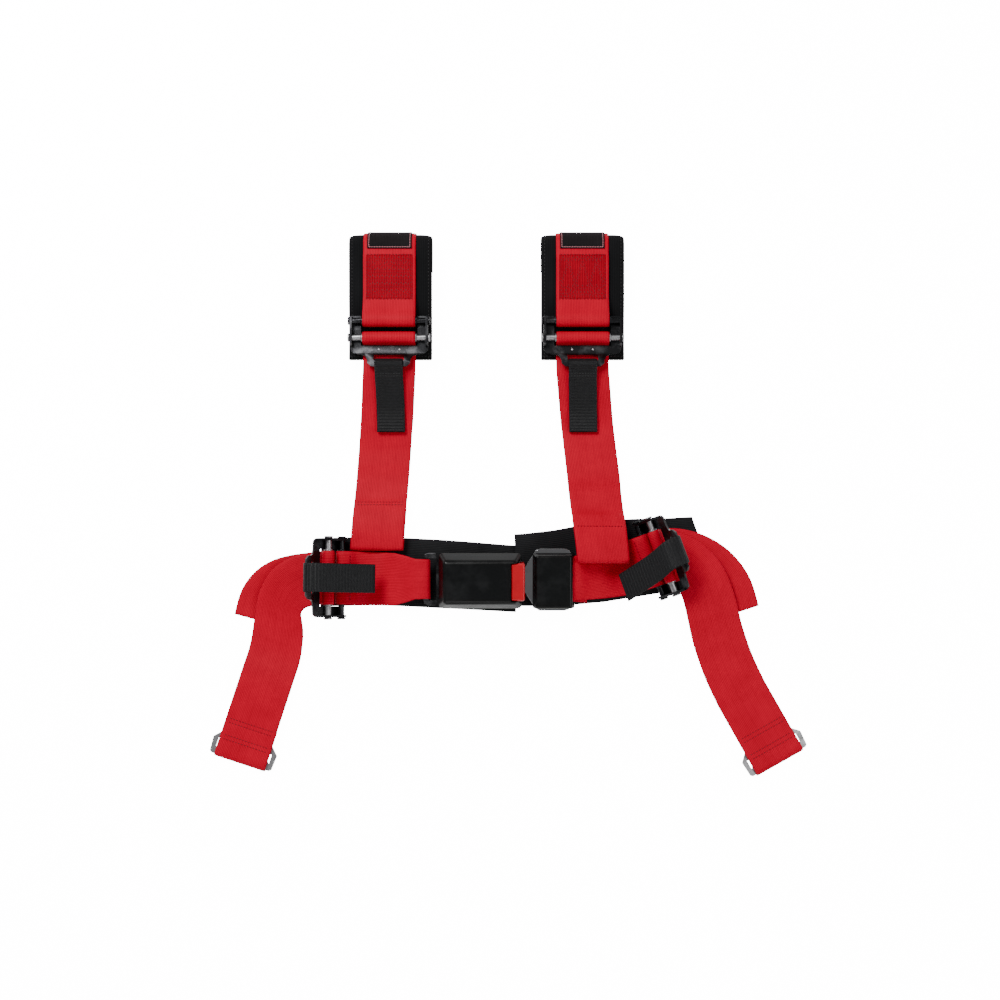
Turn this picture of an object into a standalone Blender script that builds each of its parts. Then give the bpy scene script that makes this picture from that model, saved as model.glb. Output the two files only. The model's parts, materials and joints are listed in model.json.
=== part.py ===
"""Four-point racing harness laid flat: two shoulder straps with pads, a lap belt in two halves with pads,
four tilt-lock adjusters, a push-button buckle with its tongue, and an anchor bracket in each strap end.

Metres, +Z up. The harness lies on the plane z = 0 with the shoulder straps running along +Y.
"""

import math

import bmesh
import bpy
from mathutils import Matrix, Vector

# ---------------------------------------------------------------- driving dimensions
GAP = 0.0003  # clearance between touching pieces

WEB_WIDTH = 0.0508  # two-inch webbing
WEB_THICKNESS = 0.0013
TAB_WIDTH = 0.027
TAB_THICKNESS = 0.0012
TAB_LENGTH = 0.064

PAD_WIDTH = 0.079
PAD_THICKNESS = 0.008
LAP_PAD_THICKNESS = 0.0045
LABEL_WIDTH = 0.043
LABEL_THICKNESS = 0.0006

BAR_RADIUS = 0.0043  # fixed and sliding bars of an adjuster
BAR_SPACING = 0.0163
PLATE_THICKNESS = 0.0024
FRAME_HALF_WIDTH = 0.0375
WINDOW_HALF_WIDTH = 0.0272
EAR_THICKNESS = 0.0022
EAR_HEIGHT = 0.0095
LEVER_HALF_WIDTH = 0.021
LEVER_BAR = 0.006  # width of the bar that the pull tab hangs on
TAB_SLOT = 0.006

SHOULDER_TOP = 0.248  # where the shoulder straps and pads fold under
SHOULDER_BAR_Y = 0.172  # fixed bar of each shoulder adjuster
PAD_END_Y = 0.137
SHOULDER_X = {"left": -0.1067, "right": 0.0795}
SHOULDER_LAP_X = {"left": -0.1180, "right": 0.0980}
SHOULDER_FOLD_Y = {"left": -0.0445, "right": -0.0570}
SHOULDER_FOLD_Z = {"left": 0.0115, "right": 0.0280}
SHOULDER_FOLD_LEAN = {"left": 0.0, "right": 10.0}

ANCHOR_LENGTH = 0.056
ANCHOR_THICKNESS = 0.003
ANCHOR_BAR = 0.0065
ANCHOR_SLOT = 0.009
ANCHOR_HOLE_RADIUS = 0.0056
ANCHOR_SLOT_HALF = WEB_WIDTH / 2 + 0.0014
ANCHOR_HALF_WIDTH = ANCHOR_SLOT_HALF + 0.0050

LAP_TAB_SWERVE = {"left": 0.001, "right": -0.0155}  # sideways sweep of the lap pull tabs
LAP_TILT = {"left": 47.0, "right": 50.0}  # degrees that the lap adjusters stand up

BUCKLE_PLACE = (-0.0185, -0.0775, 0.0272)
BUCKLE_ROLL = 10.0
BUCKLE_WIDTH = 0.053
BUCKLE_HEIGHT = 0.025
COVER_WALL = 0.0018
COVER_DRAFT = 0.0065
FRAME_PLATE = 0.0020
TAIL_BAR_X = -0.0520  # bar at the buckle's tail that the lap strap loops round
TAIL_BAR = 0.0050
TAIL_SLOT = 0.0070
TONGUE_THICKNESS = 0.0025
TONGUE_Z = -0.0070
SCREW_RADIUS = 0.0022

# ---------------------------------------------------------------- scene and helpers
for old in list(bpy.data.objects):
    bpy.data.objects.remove(old, do_unlink=True)

PARTS = bpy.data.collections.new("racing_harness")
CUTTERS = bpy.data.collections.new("cutters")
bpy.context.scene.collection.children.link(PARTS)
bpy.context.scene.collection.children.link(CUTTERS)

HARNESS = bpy.data.objects.new("harness_origin", None)
PARTS.objects.link(HARNESS)


def material(name, color, roughness, metallic=0.0):
    """One Principled material; the same name gives the same material."""
    found = bpy.data.materials.get(name)
    if found:
        return found
    made = bpy.data.materials.new(name)
    made.use_nodes = True
    shader = made.node_tree.nodes["Principled BSDF"]
    shader.inputs["Base Color"].default_value = (*color, 1.0)
    shader.inputs["Roughness"].default_value = roughness
    shader.inputs["Metallic"].default_value = metallic
    return made


def paint(obj, kind):
    looks = {
        "red_webbing": ((0.62, 0.0, 0.018), 0.6, 0.0),
        "black_webbing": ((0.012, 0.012, 0.013), 0.7, 0.0),
        "pad_fabric": ((0.010, 0.010, 0.011), 0.85, 0.0),
        "label": ((0.015, 0.012, 0.013), 0.7, 0.0),
        "black_steel": ((0.035, 0.035, 0.037), 0.3, 0.9),
        "zinc_steel": ((0.45, 0.45, 0.46), 0.35, 1.0),
        "chrome": ((0.75, 0.75, 0.76), 0.12, 1.0),
        "black_plastic": ((0.012, 0.012, 0.013), 0.35, 0.0),
        "red_plastic": ((0.62, 0.01, 0.01), 0.3, 0.0),
        "white_plastic": ((0.5, 0.5, 0.5), 0.4, 0.0),
        "spring_steel": ((0.4, 0.4, 0.42), 0.3, 1.0),
    }
    color, roughness, metallic = looks[kind]
    obj.data.materials.clear()
    obj.data.materials.append(material(obj.name + "_" + kind, color, roughness, metallic))


def add(name, mesh, kind, parent=None):
    """Put a mesh in the harness as one named sub-part."""
    obj = bpy.data.objects.new(name, mesh)
    PARTS.objects.link(obj)
    obj.parent = parent or HARNESS
    paint(obj, kind)
    mesh.shade_smooth()
    mesh.set_sharp_from_angle(angle=math.radians(35))
    return obj


def place(name, parent, matrix):
    """An empty on a joint's axis."""
    empty = bpy.data.objects.new(name, None)
    PARTS.objects.link(empty)
    empty.parent = parent
    empty.matrix_local = matrix
    return empty


def box_mesh(name, low, high, bevel=0.0, segments=1, top_inset=(0.0, 0.0), sharp_foot=False):
    """A block between two corners; top_inset draws its top in, a sharp foot keeps its base unbevelled."""
    bm = bmesh.new()
    bmesh.ops.create_cube(bm, size=1.0)
    low = Vector(low)
    high = Vector(high)
    for v in bm.verts:
        top = v.co.z > 0
        v.co = Vector(low[i] + (v.co[i] + 0.5) * (high[i] - low[i]) for i in range(3))
        if top:
            v.co.x += math.copysign(top_inset[0], (low.x + high.x) / 2 - v.co.x)
            v.co.y += math.copysign(top_inset[1], (low.y + high.y) / 2 - v.co.y)
    if bevel > 0:
        foot = (low.z + high.z) / 2
        edges = [e for e in bm.edges if not (sharp_foot and all(v.co.z < foot for v in e.verts))]
        bmesh.ops.bevel(bm, geom=edges, offset=bevel, segments=segments, affect="EDGES", profile=0.5)
    mesh = bpy.data.meshes.new(name)
    bm.to_mesh(mesh)
    bm.free()
    return mesh


def rod_mesh(name, radius, start, end, sides=16):
    """A round bar from start to end."""
    start = Vector(start)
    end = Vector(end)
    axis = end - start
    bm = bmesh.new()
    bmesh.ops.create_cone(bm, cap_ends=True, segments=sides, radius1=radius, radius2=radius, depth=axis.length)
    turn = axis.to_track_quat("Z", "Y").to_matrix().to_4x4()
    bm.transform(Matrix.Translation((start + end) / 2) @ turn)
    mesh = bpy.data.meshes.new(name)
    bm.to_mesh(mesh)
    bm.free()
    return mesh


def outline_mesh(name, points, thickness, z=0.0):
    """A flat outline in XY, filled and thickened evenly about z."""
    curve = bpy.data.curves.new(name + "_outline", "CURVE")
    curve.dimensions = "2D"
    curve.fill_mode = "BOTH"
    curve.extrude = thickness / 2
    spline = curve.splines.new("POLY")
    spline.points.add(len(points) - 1)
    for point, (x, y) in zip(spline.points, points):
        point.co = (x, y, 0.0, 1.0)
    spline.use_cyclic_u = True
    guide = bpy.data.objects.new(name + "_outline", curve)
    CUTTERS.objects.link(guide)
    bpy.context.view_layer.update()
    evaluated = guide.evaluated_get(bpy.context.evaluated_depsgraph_get())
    mesh = bpy.data.meshes.new_from_object(evaluated)
    mesh.name = name
    bm = bmesh.new()
    bm.from_mesh(mesh)
    bmesh.ops.remove_doubles(bm, verts=bm.verts, dist=0.000001)
    bmesh.ops.recalc_face_normals(bm, faces=bm.faces)
    bmesh.ops.translate(bm, verts=bm.verts, vec=(0, 0, z))
    bm.to_mesh(mesh)
    bm.free()
    bpy.data.objects.remove(guide, do_unlink=True)
    return mesh


def turned_mesh(name, profile, axis_point, axis, sides=16):
    """A Screw profile of (radius, height) pairs turned about an axis and laid along it."""
    mesh = bpy.data.meshes.new(name + "_profile")
    points = [(r, 0.0, h) for r, h in profile]
    edges = [(i, i + 1) for i in range(len(points) - 1)]
    mesh.from_pydata(points, edges, [])
    guide = bpy.data.objects.new(name + "_profile", mesh)
    CUTTERS.objects.link(guide)
    screw = guide.modifiers.new("Screw", "SCREW")
    screw.axis = "Z"
    screw.steps = sides
    screw.render_steps = sides
    screw.use_merge_vertices = True
    screw.merge_threshold = 0.00001
    bpy.context.view_layer.update()
    done = bpy.data.meshes.new_from_object(guide.evaluated_get(bpy.context.evaluated_depsgraph_get()))
    done.name = name
    turn = Vector(axis).to_track_quat("Z", "Y").to_matrix().to_4x4()
    done.transform(Matrix.Translation(axis_point) @ turn)
    bpy.data.objects.remove(guide, do_unlink=True)
    bm = bmesh.new()
    bm.from_mesh(done)
    bmesh.ops.recalc_face_normals(bm, faces=bm.faces)
    bm.to_mesh(done)
    bm.free()
    return done


def cut(obj, tool_mesh, operation="DIFFERENCE"):
    """Cut or join obj with a tool mesh given in obj's own coordinates."""
    tool = bpy.data.objects.new(obj.name + "_tool", tool_mesh)
    CUTTERS.objects.link(tool)
    tool.hide_render = True
    tool.display_type = "WIRE"
    tool.parent = obj
    step = obj.modifiers.new(operation.title(), "BOOLEAN")
    step.operation = operation
    step.solver = "EXACT"
    step.object = tool
    return tool


def arc(center, radius, start, end, steps):
    """Points on an arc in the (along, height) plane; angles in degrees."""
    points = []
    for i in range(steps + 1):
        a = math.radians(start + (end - start) * i / steps)
        points.append((center[0] + radius * math.cos(a), center[1] + radius * math.sin(a)))
    return points


def strip_mesh(name, stations, thickness):
    """Webbing or padding: a ruled strip through (middle, half-width vector) stations, then Solidify."""
    bm = bmesh.new()
    previous = None
    for middle, half in stations:
        pair = [bm.verts.new(Vector(middle) - half), bm.verts.new(Vector(middle) + half)]
        if previous:
            bm.faces.new((previous[0], previous[1], pair[1], pair[0]))
        previous = pair
    sheet = bpy.data.meshes.new(name + "_sheet")
    bm.to_mesh(sheet)
    bm.free()
    guide = bpy.data.objects.new(name + "_sheet", sheet)
    CUTTERS.objects.link(guide)
    solid = guide.modifiers.new("Solidify", "SOLIDIFY")
    solid.thickness = thickness
    solid.offset = 0.0
    solid.use_even_offset = True
    bpy.context.view_layer.update()
    mesh = bpy.data.meshes.new_from_object(guide.evaluated_get(bpy.context.evaluated_depsgraph_get()))
    mesh.name = name
    bpy.data.objects.remove(guide, do_unlink=True)
    bm = bmesh.new()
    bm.from_mesh(mesh)
    bmesh.ops.recalc_face_normals(bm, faces=bm.faces)
    bm.to_mesh(mesh)
    bm.free()
    return mesh


def smooth(points, per_span=3):
    """Catmull-Rom points through the given ones."""
    result = []
    count = len(points)
    for i in range(count - 1):
        p0 = Vector(points[max(i - 1, 0)])
        p1 = Vector(points[i])
        p2 = Vector(points[i + 1])
        p3 = Vector(points[min(i + 2, count - 1)])
        for k in range(per_span):
            t = k / per_span
            a = 2 * p1 + (p2 - p0) * t
            b = (2 * p0 - 5 * p1 + 4 * p2 - p3) * t * t
            c = (3 * p1 - p0 - 3 * p2 + p3) * t ** 3
            result.append((a + b + c) / 2)
    result.append(Vector(points[-1]))
    return result


def offset_path(path, distance):
    """A path in the (along, height) plane moved sideways, to the left of its direction of travel."""
    moved = []
    for i, point in enumerate(path):
        a = Vector(path[max(i - 1, 0)])
        b = Vector(path[min(i + 1, len(path) - 1)])
        run = (b - a).normalized()
        moved.append((point[0] - run.y * distance, point[1] + run.x * distance))
    return moved


# ---------------------------------------------------------------- webbing facts shared by several pieces
WRAP = BAR_RADIUS + GAP + WEB_THICKNESS / 2  # middle of the web round an adjuster bar
PLY = WEB_THICKNESS + GAP  # middle to middle of two plies
PLATE_TOP = -0.0036  # adjuster plate, below the bars' middle
PLATE_Z = PLATE_TOP - PLATE_THICKNESS / 2
PLATE_EDGE = 0.0235  # edge of the plate that the strap bends over, from the fixed bar
MAIN_DROP = PLATE_TOP - PLATE_THICKNESS - GAP - WEB_THICKNESS / 2
TAIL_DROP = MAIN_DROP - PLY
FRAME_END = 0.0315
LEVER_BEND = FRAME_END - 0.0010  # the lever is bent up from here
LEVER_SLOPE = 0.75
LEVER_END = FRAME_END + TAB_SLOT + LEVER_BAR + 0.0010
LEVER_BAR_U = LEVER_END - LEVER_BAR / 2
LEVER_FLAT = LEVER_END - LEVER_BAR  # from here on the lever is level again, as the pull tab's bar
LEVER_Z = PLATE_Z + (LEVER_FLAT - LEVER_BEND) * LEVER_SLOPE
ANCHOR_LOOP = math.hypot(ANCHOR_BAR / 2, ANCHOR_THICKNESS / 2) + GAP + WEB_THICKNESS / 2
TAB_LOOP = math.hypot(LEVER_BAR / 2, PLATE_THICKNESS / 2) + GAP + TAB_THICKNESS / 2
TAIL_LOOP = math.hypot(TAIL_BAR / 2, FRAME_PLATE / 2) + GAP + WEB_THICKNESS / 2
LOOP_Z = ANCHOR_LOOP + WEB_THICKNESS / 2  # an anchor loop's middle above the table

PAD_MID = ANCHOR_THICKNESS / 2 + LOOP_Z + GAP + PAD_THICKNESS / 2 + 0.0002
SHOULDER_BAR_Z = PAD_MID + PAD_THICKNESS / 2 + GAP - TAIL_DROP + WEB_THICKNESS / 2
ON_PAD = PAD_THICKNESS / 2 + GAP + WEB_THICKNESS / 2


# ---------------------------------------------------------------- tilt-lock adjuster
def adjuster(name, holder):
    """Stamped frame with raised ears, a fixed bar and a sliding bar; X runs from fixed bar to lever."""
    wide = FRAME_HALF_WIDTH
    inner = WINDOW_HALF_WIDTH
    lever = LEVER_HALF_WIDTH
    start = -0.0055
    half = [(start, wide), (FRAME_END - 0.006, wide)]
    half += [(FRAME_END + p[0] - 0.006, wide - 0.006 + p[1]) for p in arc((0, 0), 0.006, 75, 15, 3)]
    half += [(FRAME_END + 0.0005, lever + 0.006), (FRAME_END + 0.0025, lever + 0.0015)]
    half += [(LEVER_FLAT, lever - 0.0003), (LEVER_END - 0.003, lever - 0.0005), (LEVER_END, lever - 0.004)]
    outline = half + [(x, -y) for x, y in reversed(half)]
    outline += [(start, -inner), (PLATE_EDGE, -inner), (PLATE_EDGE, inner), (start, inner)]
    plate = outline_mesh(name + "_frame", outline, PLATE_THICKNESS, PLATE_Z)
    bm = bmesh.new()
    bm.from_mesh(plate)
    for x in (LEVER_BEND, LEVER_FLAT):
        geometry = bm.verts[:] + bm.edges[:] + bm.faces[:]
        bmesh.ops.bisect_plane(bm, geom=geometry, dist=0.00001, plane_co=(x, 0, 0), plane_no=(1, 0, 0))
    for vert in bm.verts:
        vert.co.z += min(max(0.0, vert.co.x - LEVER_BEND), LEVER_FLAT - LEVER_BEND) * LEVER_SLOPE
    bmesh.ops.triangulate(bm, faces=bm.faces[:])
    bm.to_mesh(plate)
    bm.free()
    frame = add(name + "_frame", plate, "black_steel", holder)
    slot_x = FRAME_END + 0.0010
    reach = TAB_WIDTH / 2 + 0.0012
    slot = box_mesh("slot", (slot_x, -reach, -0.02), (slot_x + TAB_SLOT, reach, 0.02))
    cut(frame, slot)
    for side in (-1, 1):
        low = (start, side * (wide - EAR_THICKNESS / 2) - EAR_THICKNESS / 2, PLATE_Z)
        high = (FRAME_END - 0.006, side * (wide - EAR_THICKNESS / 2) + EAR_THICKNESS / 2, PLATE_Z + EAR_HEIGHT)
        ear = box_mesh("ear", low, high, top_inset=(0.003, 0.0))
        cut(frame, ear, "UNION")
    reach = wide + 0.01
    for x in (0.0, BAR_SPACING):
        cut(frame, rod_mesh("bore", 0.0030 + GAP, (x, -reach, 0), (x, reach, 0), 12))
    for bar, x in (("fixed_bar", 0.0), ("slide_bar", BAR_SPACING)):
        core = inner - 0.0004
        end = wide + 0.0020
        head = wide + GAP
        profile = [(0.0, end), (0.0040, end), (0.0040, head), (0.0030, head), (0.0030, core), (BAR_RADIUS, core)]
        profile += [(r, -h) for r, h in reversed(profile)]
        shape = turned_mesh(name + "_" + bar, profile, (x, 0, 0), (0, 1, 0), 14)
        add(name + "_" + bar, shape, "zinc_steel" if bar == "slide_bar" else "black_steel", holder)
    return frame


def pull_tab(name, holder, drape):
    """Narrow webbing loop on the lever bar; drape lists (along, up, across) points from the bar outwards."""
    middle = Vector((LEVER_BAR_U, LEVER_Z))
    lead = Vector((drape[0][0], drape[0][1])) - middle
    lead_angle = math.degrees(math.atan2(lead.y, lead.x))
    route = smooth([Vector(p) for p in drape], 3)
    flat = [(p.x, p.y) for p in route]
    upper = offset_path(flat, (TAB_THICKNESS + GAP) / 2)
    lower = offset_path(flat, -(TAB_THICKNESS + GAP) / 2)
    ring = arc(middle, TAB_LOOP, lead_angle + 40, lead_angle + 320, 12)
    path = [(x, z, p.z) for (x, z), p in zip(reversed(upper), reversed(route))]
    path += [(x, z, 0.0) for x, z in ring]
    path += [(x, z, p.z) for (x, z), p in zip(lower, route)]
    half = Vector((0, TAB_WIDTH / 2, 0))
    stations = [(Vector((x, side, z)), half) for x, z, side in path]
    add(name + "_pull_tab", strip_mesh(name + "_pull_tab", stations, TAB_THICKNESS), "black_webbing", holder)


# ---------------------------------------------------------------- anchor bracket
def anchor(name, holder):
    """Steel strap plate: bar at the origin across Y, slot, then a tapering body with the bolt hole, along +X."""
    bar = ANCHOR_BAR / 2
    slot_end = bar + ANCHOR_SLOT
    body = ANCHOR_LENGTH - bar
    nose = 0.0135
    half = [(-bar + 0.0015, ANCHOR_HALF_WIDTH - 0.0010), (slot_end, ANCHOR_HALF_WIDTH), (slot_end + 0.008, 0.024)]
    half += [(body - nose + p[0], p[1]) for p in arc((0, 0), nose, 70, 0, 5)]
    corner = (-bar, ANCHOR_HALF_WIDTH - 0.0030)
    outline = [corner] + half + [(x, -y) for x, y in reversed(half[:-1])] + [(corner[0], -corner[1])]
    shape = outline_mesh(name, outline, ANCHOR_THICKNESS)
    bracket = add(name, shape, "zinc_steel", holder)
    slot = box_mesh("slot", (bar, -ANCHOR_SLOT_HALF, -0.02), (slot_end, ANCHOR_SLOT_HALF, 0.02))
    cut(bracket, slot)
    hole_x = body - nose
    cut(bracket, rod_mesh("hole", ANCHOR_HOLE_RADIUS, (hole_x, 0, -0.02), (hole_x, 0, 0.02), 20))


# ---------------------------------------------------------------- shoulder straps
def shoulder(side):
    """One shoulder: lower strap, adjuster, pad, upper strap, label and anchor."""
    x_mid = SHOULDER_X[side]
    lap_x = SHOULDER_LAP_X[side]
    fold_y = SHOULDER_FOLD_Y[side]
    name = "shoulder_adjuster_" + side
    bar_y = SHOULDER_BAR_Y
    bar_z = SHOULDER_BAR_Z
    turn = Matrix(((0, 1, 0, x_mid), (-1, 0, 0, bar_y), (0, 0, 1, bar_z), (0, 0, 0, 1)))
    holder = place(name + "_axis", HARNESS, turn)
    adjuster(name, holder)
    drape = [(LEVER_BAR_U + 0.007, LEVER_Z - 0.0012, 0.0), (LEVER_BAR_U + 0.0145, PLATE_Z + 0.0010, 0.0)]
    drape += [(LEVER_BAR_U + 0.0245, PLATE_Z - 0.0038, 0.0004), (LEVER_BAR_U + 0.0425, PLATE_Z - 0.0102, 0.0008)]
    drape += [(LEVER_BAR_U + TAB_LENGTH, PLATE_Z - 0.0125, 0.0012)]
    pull_tab(name, holder, drape)

    # pad: flat under the adjuster, up over the bracket, folded under at the top
    fold_radius = 0.007
    low_mid = WEB_THICKNESS + GAP + PAD_THICKNESS / 2
    top = SHOULDER_TOP
    rise = [(PAD_END_Y, PAD_MID), (0.160, PAD_MID), (0.173, PAD_MID + 0.0014), (0.189, 0.0151), (0.210, 0.0170)]
    rise += [(0.230, 0.0187), (0.240, 0.0194), (top, low_mid + 2 * fold_radius)]
    pad_path = rise + arc((top, low_mid + fold_radius), fold_radius, 75, -90, 8) + [(0.224, low_mid)]
    half = Vector((PAD_WIDTH / 2, 0, 0))
    stations = [(Vector((x_mid + 0.0006, y, z)), half) for y, z in pad_path]
    add("shoulder_pad_" + side, strip_mesh("shoulder_pad_" + side, stations, PAD_THICKNESS), "pad_fabric")

    # upper strap: sewn return ply, round the fixed bar, up over the pad, under, and round the anchor bar
    fixed = (bar_y, bar_z)
    skin = offset_path(pad_path, ON_PAD)
    doubled = offset_path(pad_path, ON_PAD + PLY)
    back = [skin[5], skin[4], (0.193, skin[3][1] + 0.0008)]
    ring = arc(fixed, WRAP, 275, 90, 9)
    out = [(0.184, bar_z + 0.0015), (0.197, doubled[3][1] + 0.0012), doubled[4], (0.2300, doubled[5][1])]
    out += [(0.2330, doubled[5][1] + 0.0002)]
    over = skin[6:]
    loop_mid = (0.189, LOOP_Z)
    ring_end = arc(loop_mid, ANCHOR_LOOP, 270, 35, 9)
    run_z = WEB_THICKNESS / 2
    end = [(0.1965, run_z + PLY + 0.0005), (0.201, run_z + PLY), (0.218, run_z + PLY)]
    path = back + ring + out + over + ring_end + end
    half = Vector((WEB_WIDTH / 2, 0, 0))
    stations = [(Vector((x_mid, y, z)), half) for y, z in path]
    add("shoulder_strap_upper_" + side, strip_mesh("shoulder_strap_upper_" + side, stations, WEB_THICKNESS),
        "red_webbing")
    label = offset_path(pad_path, ON_PAD + WEB_THICKNESS / 2 + GAP + LABEL_THICKNESS / 2 + 0.0001)[7:12]
    label = [(0.2425, label[0][1] - 0.0002)] + label
    half = Vector((LABEL_WIDTH / 2, 0, 0))
    stations = [(Vector((x_mid, y, z)), half) for y, z in label]
    add("label_patch_" + side, strip_mesh("label_patch_" + side, stations, LABEL_THICKNESS), "label")
    hang = place("shoulder_anchor_" + side + "_axis", HARNESS, Matrix(
        ((0, 1, 0, x_mid), (-1, 0, 0, loop_mid[0]), (0, 0, 1, loop_mid[1]), (0, 0, 0, 1))))
    anchor("shoulder_anchor_" + side, hang)

    # lower strap, along = distance from the sliding bar towards the lap
    slide_y = bar_y - BAR_SPACING
    edge = PLATE_EDGE - BAR_SPACING
    bend = WEB_THICKNESS / 2 + GAP
    tail = [(0.083, 0.0010), (0.070, 0.0036), (0.050, 0.0105)]
    tail += [(0.034, bar_z + TAIL_DROP), (0.0085, bar_z + TAIL_DROP)]
    tail += [(0.0060, bar_z + TAIL_DROP + 0.0002), (0.0040, bar_z + TAIL_DROP + 0.0012)]
    ring = arc((0.0, bar_z), WRAP, 280, 0, 12)
    corner = arc((edge, bar_z + PLATE_Z - PLATE_THICKNESS / 2), bend, 180, 270, 3)
    end_y = slide_y - fold_y
    fold_z = SHOULDER_FOLD_Z[side]
    fold_r = 0.0035
    lift = fold_z - SHOULDER_FOLD_Z["left"]
    bump = {"left": 0.0, "right": 0.010}[side]
    body = [(0.034, bar_z + MAIN_DROP), (0.050, 0.0128), (0.070, 0.0062), (0.086, 0.0038)]
    body += [(0.105, 0.0018 + bump * 0.5), (end_y - 0.080, 0.0022 + bump)]
    body += [(end_y - 0.065, 0.0030 + bump * 0.8), (end_y - 0.048, 0.0062 + lift * 0.5)]
    body += [(end_y - 0.040, 0.0096 + lift * 0.72), (end_y - 0.028, 0.0134 + lift * 0.92)]
    body += [(end_y - 0.014, 0.0153 + lift), (end_y, fold_z + fold_r)]
    fold = arc((end_y, fold_z), fold_r, 68, -68, 6)
    back = [(end_y, fold_z - fold_r), (end_y - 0.014, 0.0079 + lift), (end_y - 0.028, 0.0075 + lift * 0.86)]
    back += [(end_y - 0.038, 0.0065 + lift * 0.62)]
    path = smooth([Vector(p) for p in tail[:4]], 2) + tail[4:] + ring + corner
    path += smooth([Vector(p) for p in body], 3) + fold + back
    lean = (lap_x - x_mid) / (end_y - 0.030)
    stations = []
    for along, z in path:
        shift = max(0.0, along - 0.030) * lean
        cant = math.radians(SHOULDER_FOLD_LEAN[side] * min(1.0, max(0.0, (along - end_y + 0.075) / 0.055)))
        across = Vector((math.cos(cant), 0, -math.sin(cant))) * WEB_WIDTH / 2
        stations.append((Vector((x_mid + shift, slide_y - along, z)), across))
    add("shoulder_strap_lower_" + side, strip_mesh("shoulder_strap_lower_" + side, stations, WEB_THICKNESS),
        "red_webbing")


for shoulder_side in ("left", "right"):
    shoulder(shoulder_side)


# ---------------------------------------------------------------- lap side
def plan_stations(points, width):
    """Web stations from (x, y, z, heading) points; the heading is the way the strap runs, in degrees."""
    stations = []
    for x, y, z, heading in smooth_four(points):
        h = math.radians(heading)
        stations.append((Vector((x, y, z)), Vector((math.sin(h), -math.cos(h), 0)) * width / 2))
    return stations


def smooth_four(points):
    """The same Catmull-Rom, for points with a heading as their fourth value."""
    places = smooth([p[:3] for p in points], 3)
    turns = smooth([(p[3], 0.0, 0.0) for p in points], 3)
    return [(p.x, p.y, p.z, t.x) for p, t in zip(places, turns)]


def lap_pad(side, points):
    """Flat ribbed sleeve under the lap strap: (x, y, z, lean, half width) points from end to end."""
    stations = []
    for x, y, z, lean, half in points:
        a = math.radians(lean)
        stations.append((Vector((x, y, z)), Vector((-math.sin(a), math.cos(a), 0)) * half))
    name = "lap_pad_" + side
    return add(name, strip_mesh(name, stations, LAP_PAD_THICKNESS), "pad_fabric", HARNESS)


def lap_half(side, fixed, heading, inner_route, inner_end, outer, tail, anchor_place):
    """One side of the lap belt: inner strap, adjuster, outer strap with its tail, and anchor."""
    parent = HARNESS
    tilt = math.radians(LAP_TILT[side])
    out = Vector((math.cos(math.radians(heading)), math.sin(math.radians(heading)), 0))
    across = Vector((-out.y, out.x, 0))
    u = out * math.cos(tilt) + Vector((0, 0, math.sin(tilt)))
    w = -out * math.sin(tilt) + Vector((0, 0, math.cos(tilt)))
    fixed = Vector(fixed)
    turn = Matrix(((u.x, across.x, w.x, fixed.x), (u.y, across.y, w.y, fixed.y), (u.z, across.z, w.z, fixed.z),
                   (0, 0, 0, 1)))
    name = "lap_adjuster_" + side
    holder = place(name + "_axis", parent, turn)
    adjuster(name, holder)
    swerve = LAP_TAB_SWERVE[side]
    drape = [(LEVER_BAR_U + 0.0010, LEVER_Z + 0.0068, 0.0), (LEVER_BAR_U - 0.0055, LEVER_Z + 0.0130, swerve * 0.1)]
    drape += [(LEVER_BAR_U - 0.0220, LEVER_Z + 0.0200, swerve * 0.5)]
    drape += [(LEVER_BAR_U - 0.0530, LEVER_Z + 0.0335, swerve)]
    pull_tab(name, holder, drape)

    # inner strap: return ply, round the fixed bar, along the pad to the buckle or tongue bar, and back
    half = across * WEB_WIDTH / 2
    ply_low = LAP_PAD_THICKNESS + GAP + 0.0004 + WEB_THICKNESS / 2
    low = [(-0.030, ply_low), (-0.020, ply_low), (-0.012, ply_low + 0.0006)]
    ring = arc((0, fixed.z), WRAP, 268, 450, 9)
    path = low + ring
    start = [(fixed + out * a + Vector((0, 0, z - fixed.z)), half) for a, z in path]
    stations = start + inner_route(half) + inner_end
    add("lap_strap_inner_" + side, strip_mesh("lap_strap_inner_" + side, stations, WEB_THICKNESS), "red_webbing",
        parent)

    # outer strap: tail, round the sliding bar, down to the table, and the sewn end loop round the anchor bar
    slide = fixed + u * BAR_SPACING
    ring = arc((0, slide.z), WRAP, -80, 180, 12)
    wrap_part = [(slide + out * -a + Vector((0, 0, z - slide.z)), -half) for a, z in ring]
    tail_part = plan_stations(tail, WEB_WIDTH)
    main_part = plan_stations(outer, WEB_WIDTH)
    loop_mid = Vector(anchor_place[:3])
    run = math.radians(anchor_place[3])
    along = Vector((math.cos(run), math.sin(run), 0))
    half_end = Vector((along.y, -along.x, 0)) * WEB_WIDTH / 2
    loop = arc((0, 0), ANCHOR_LOOP, 90, -215, 14)
    loop += [(-0.0065, ANCHOR_LOOP - PLY - 0.0001), (-0.012, ANCHOR_LOOP - PLY), (-0.034, ANCHOR_LOOP - PLY)]
    loop_part = [(loop_mid + along * a + Vector((0, 0, z)), half_end) for a, z in loop]
    stations = list(reversed(tail_part)) + wrap_part + main_part + loop_part
    add("lap_strap_outer_" + side, strip_mesh("lap_strap_outer_" + side, stations, WEB_THICKNESS), "red_webbing",
        parent)
    back = Matrix(((-along.x, along.y, 0, loop_mid.x), (-along.y, -along.x, 0, loop_mid.y), (0, 0, 1, loop_mid.z),
                   (0, 0, 0, 1)))
    anchor("lap_anchor_" + side, place("lap_anchor_" + side + "_axis", parent, back))


def rolled(x, y, z):
    """A point given in the buckle's own coordinates, in harness coordinates."""
    return BUCKLE_FRAME @ Vector((x, y, z))


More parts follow.
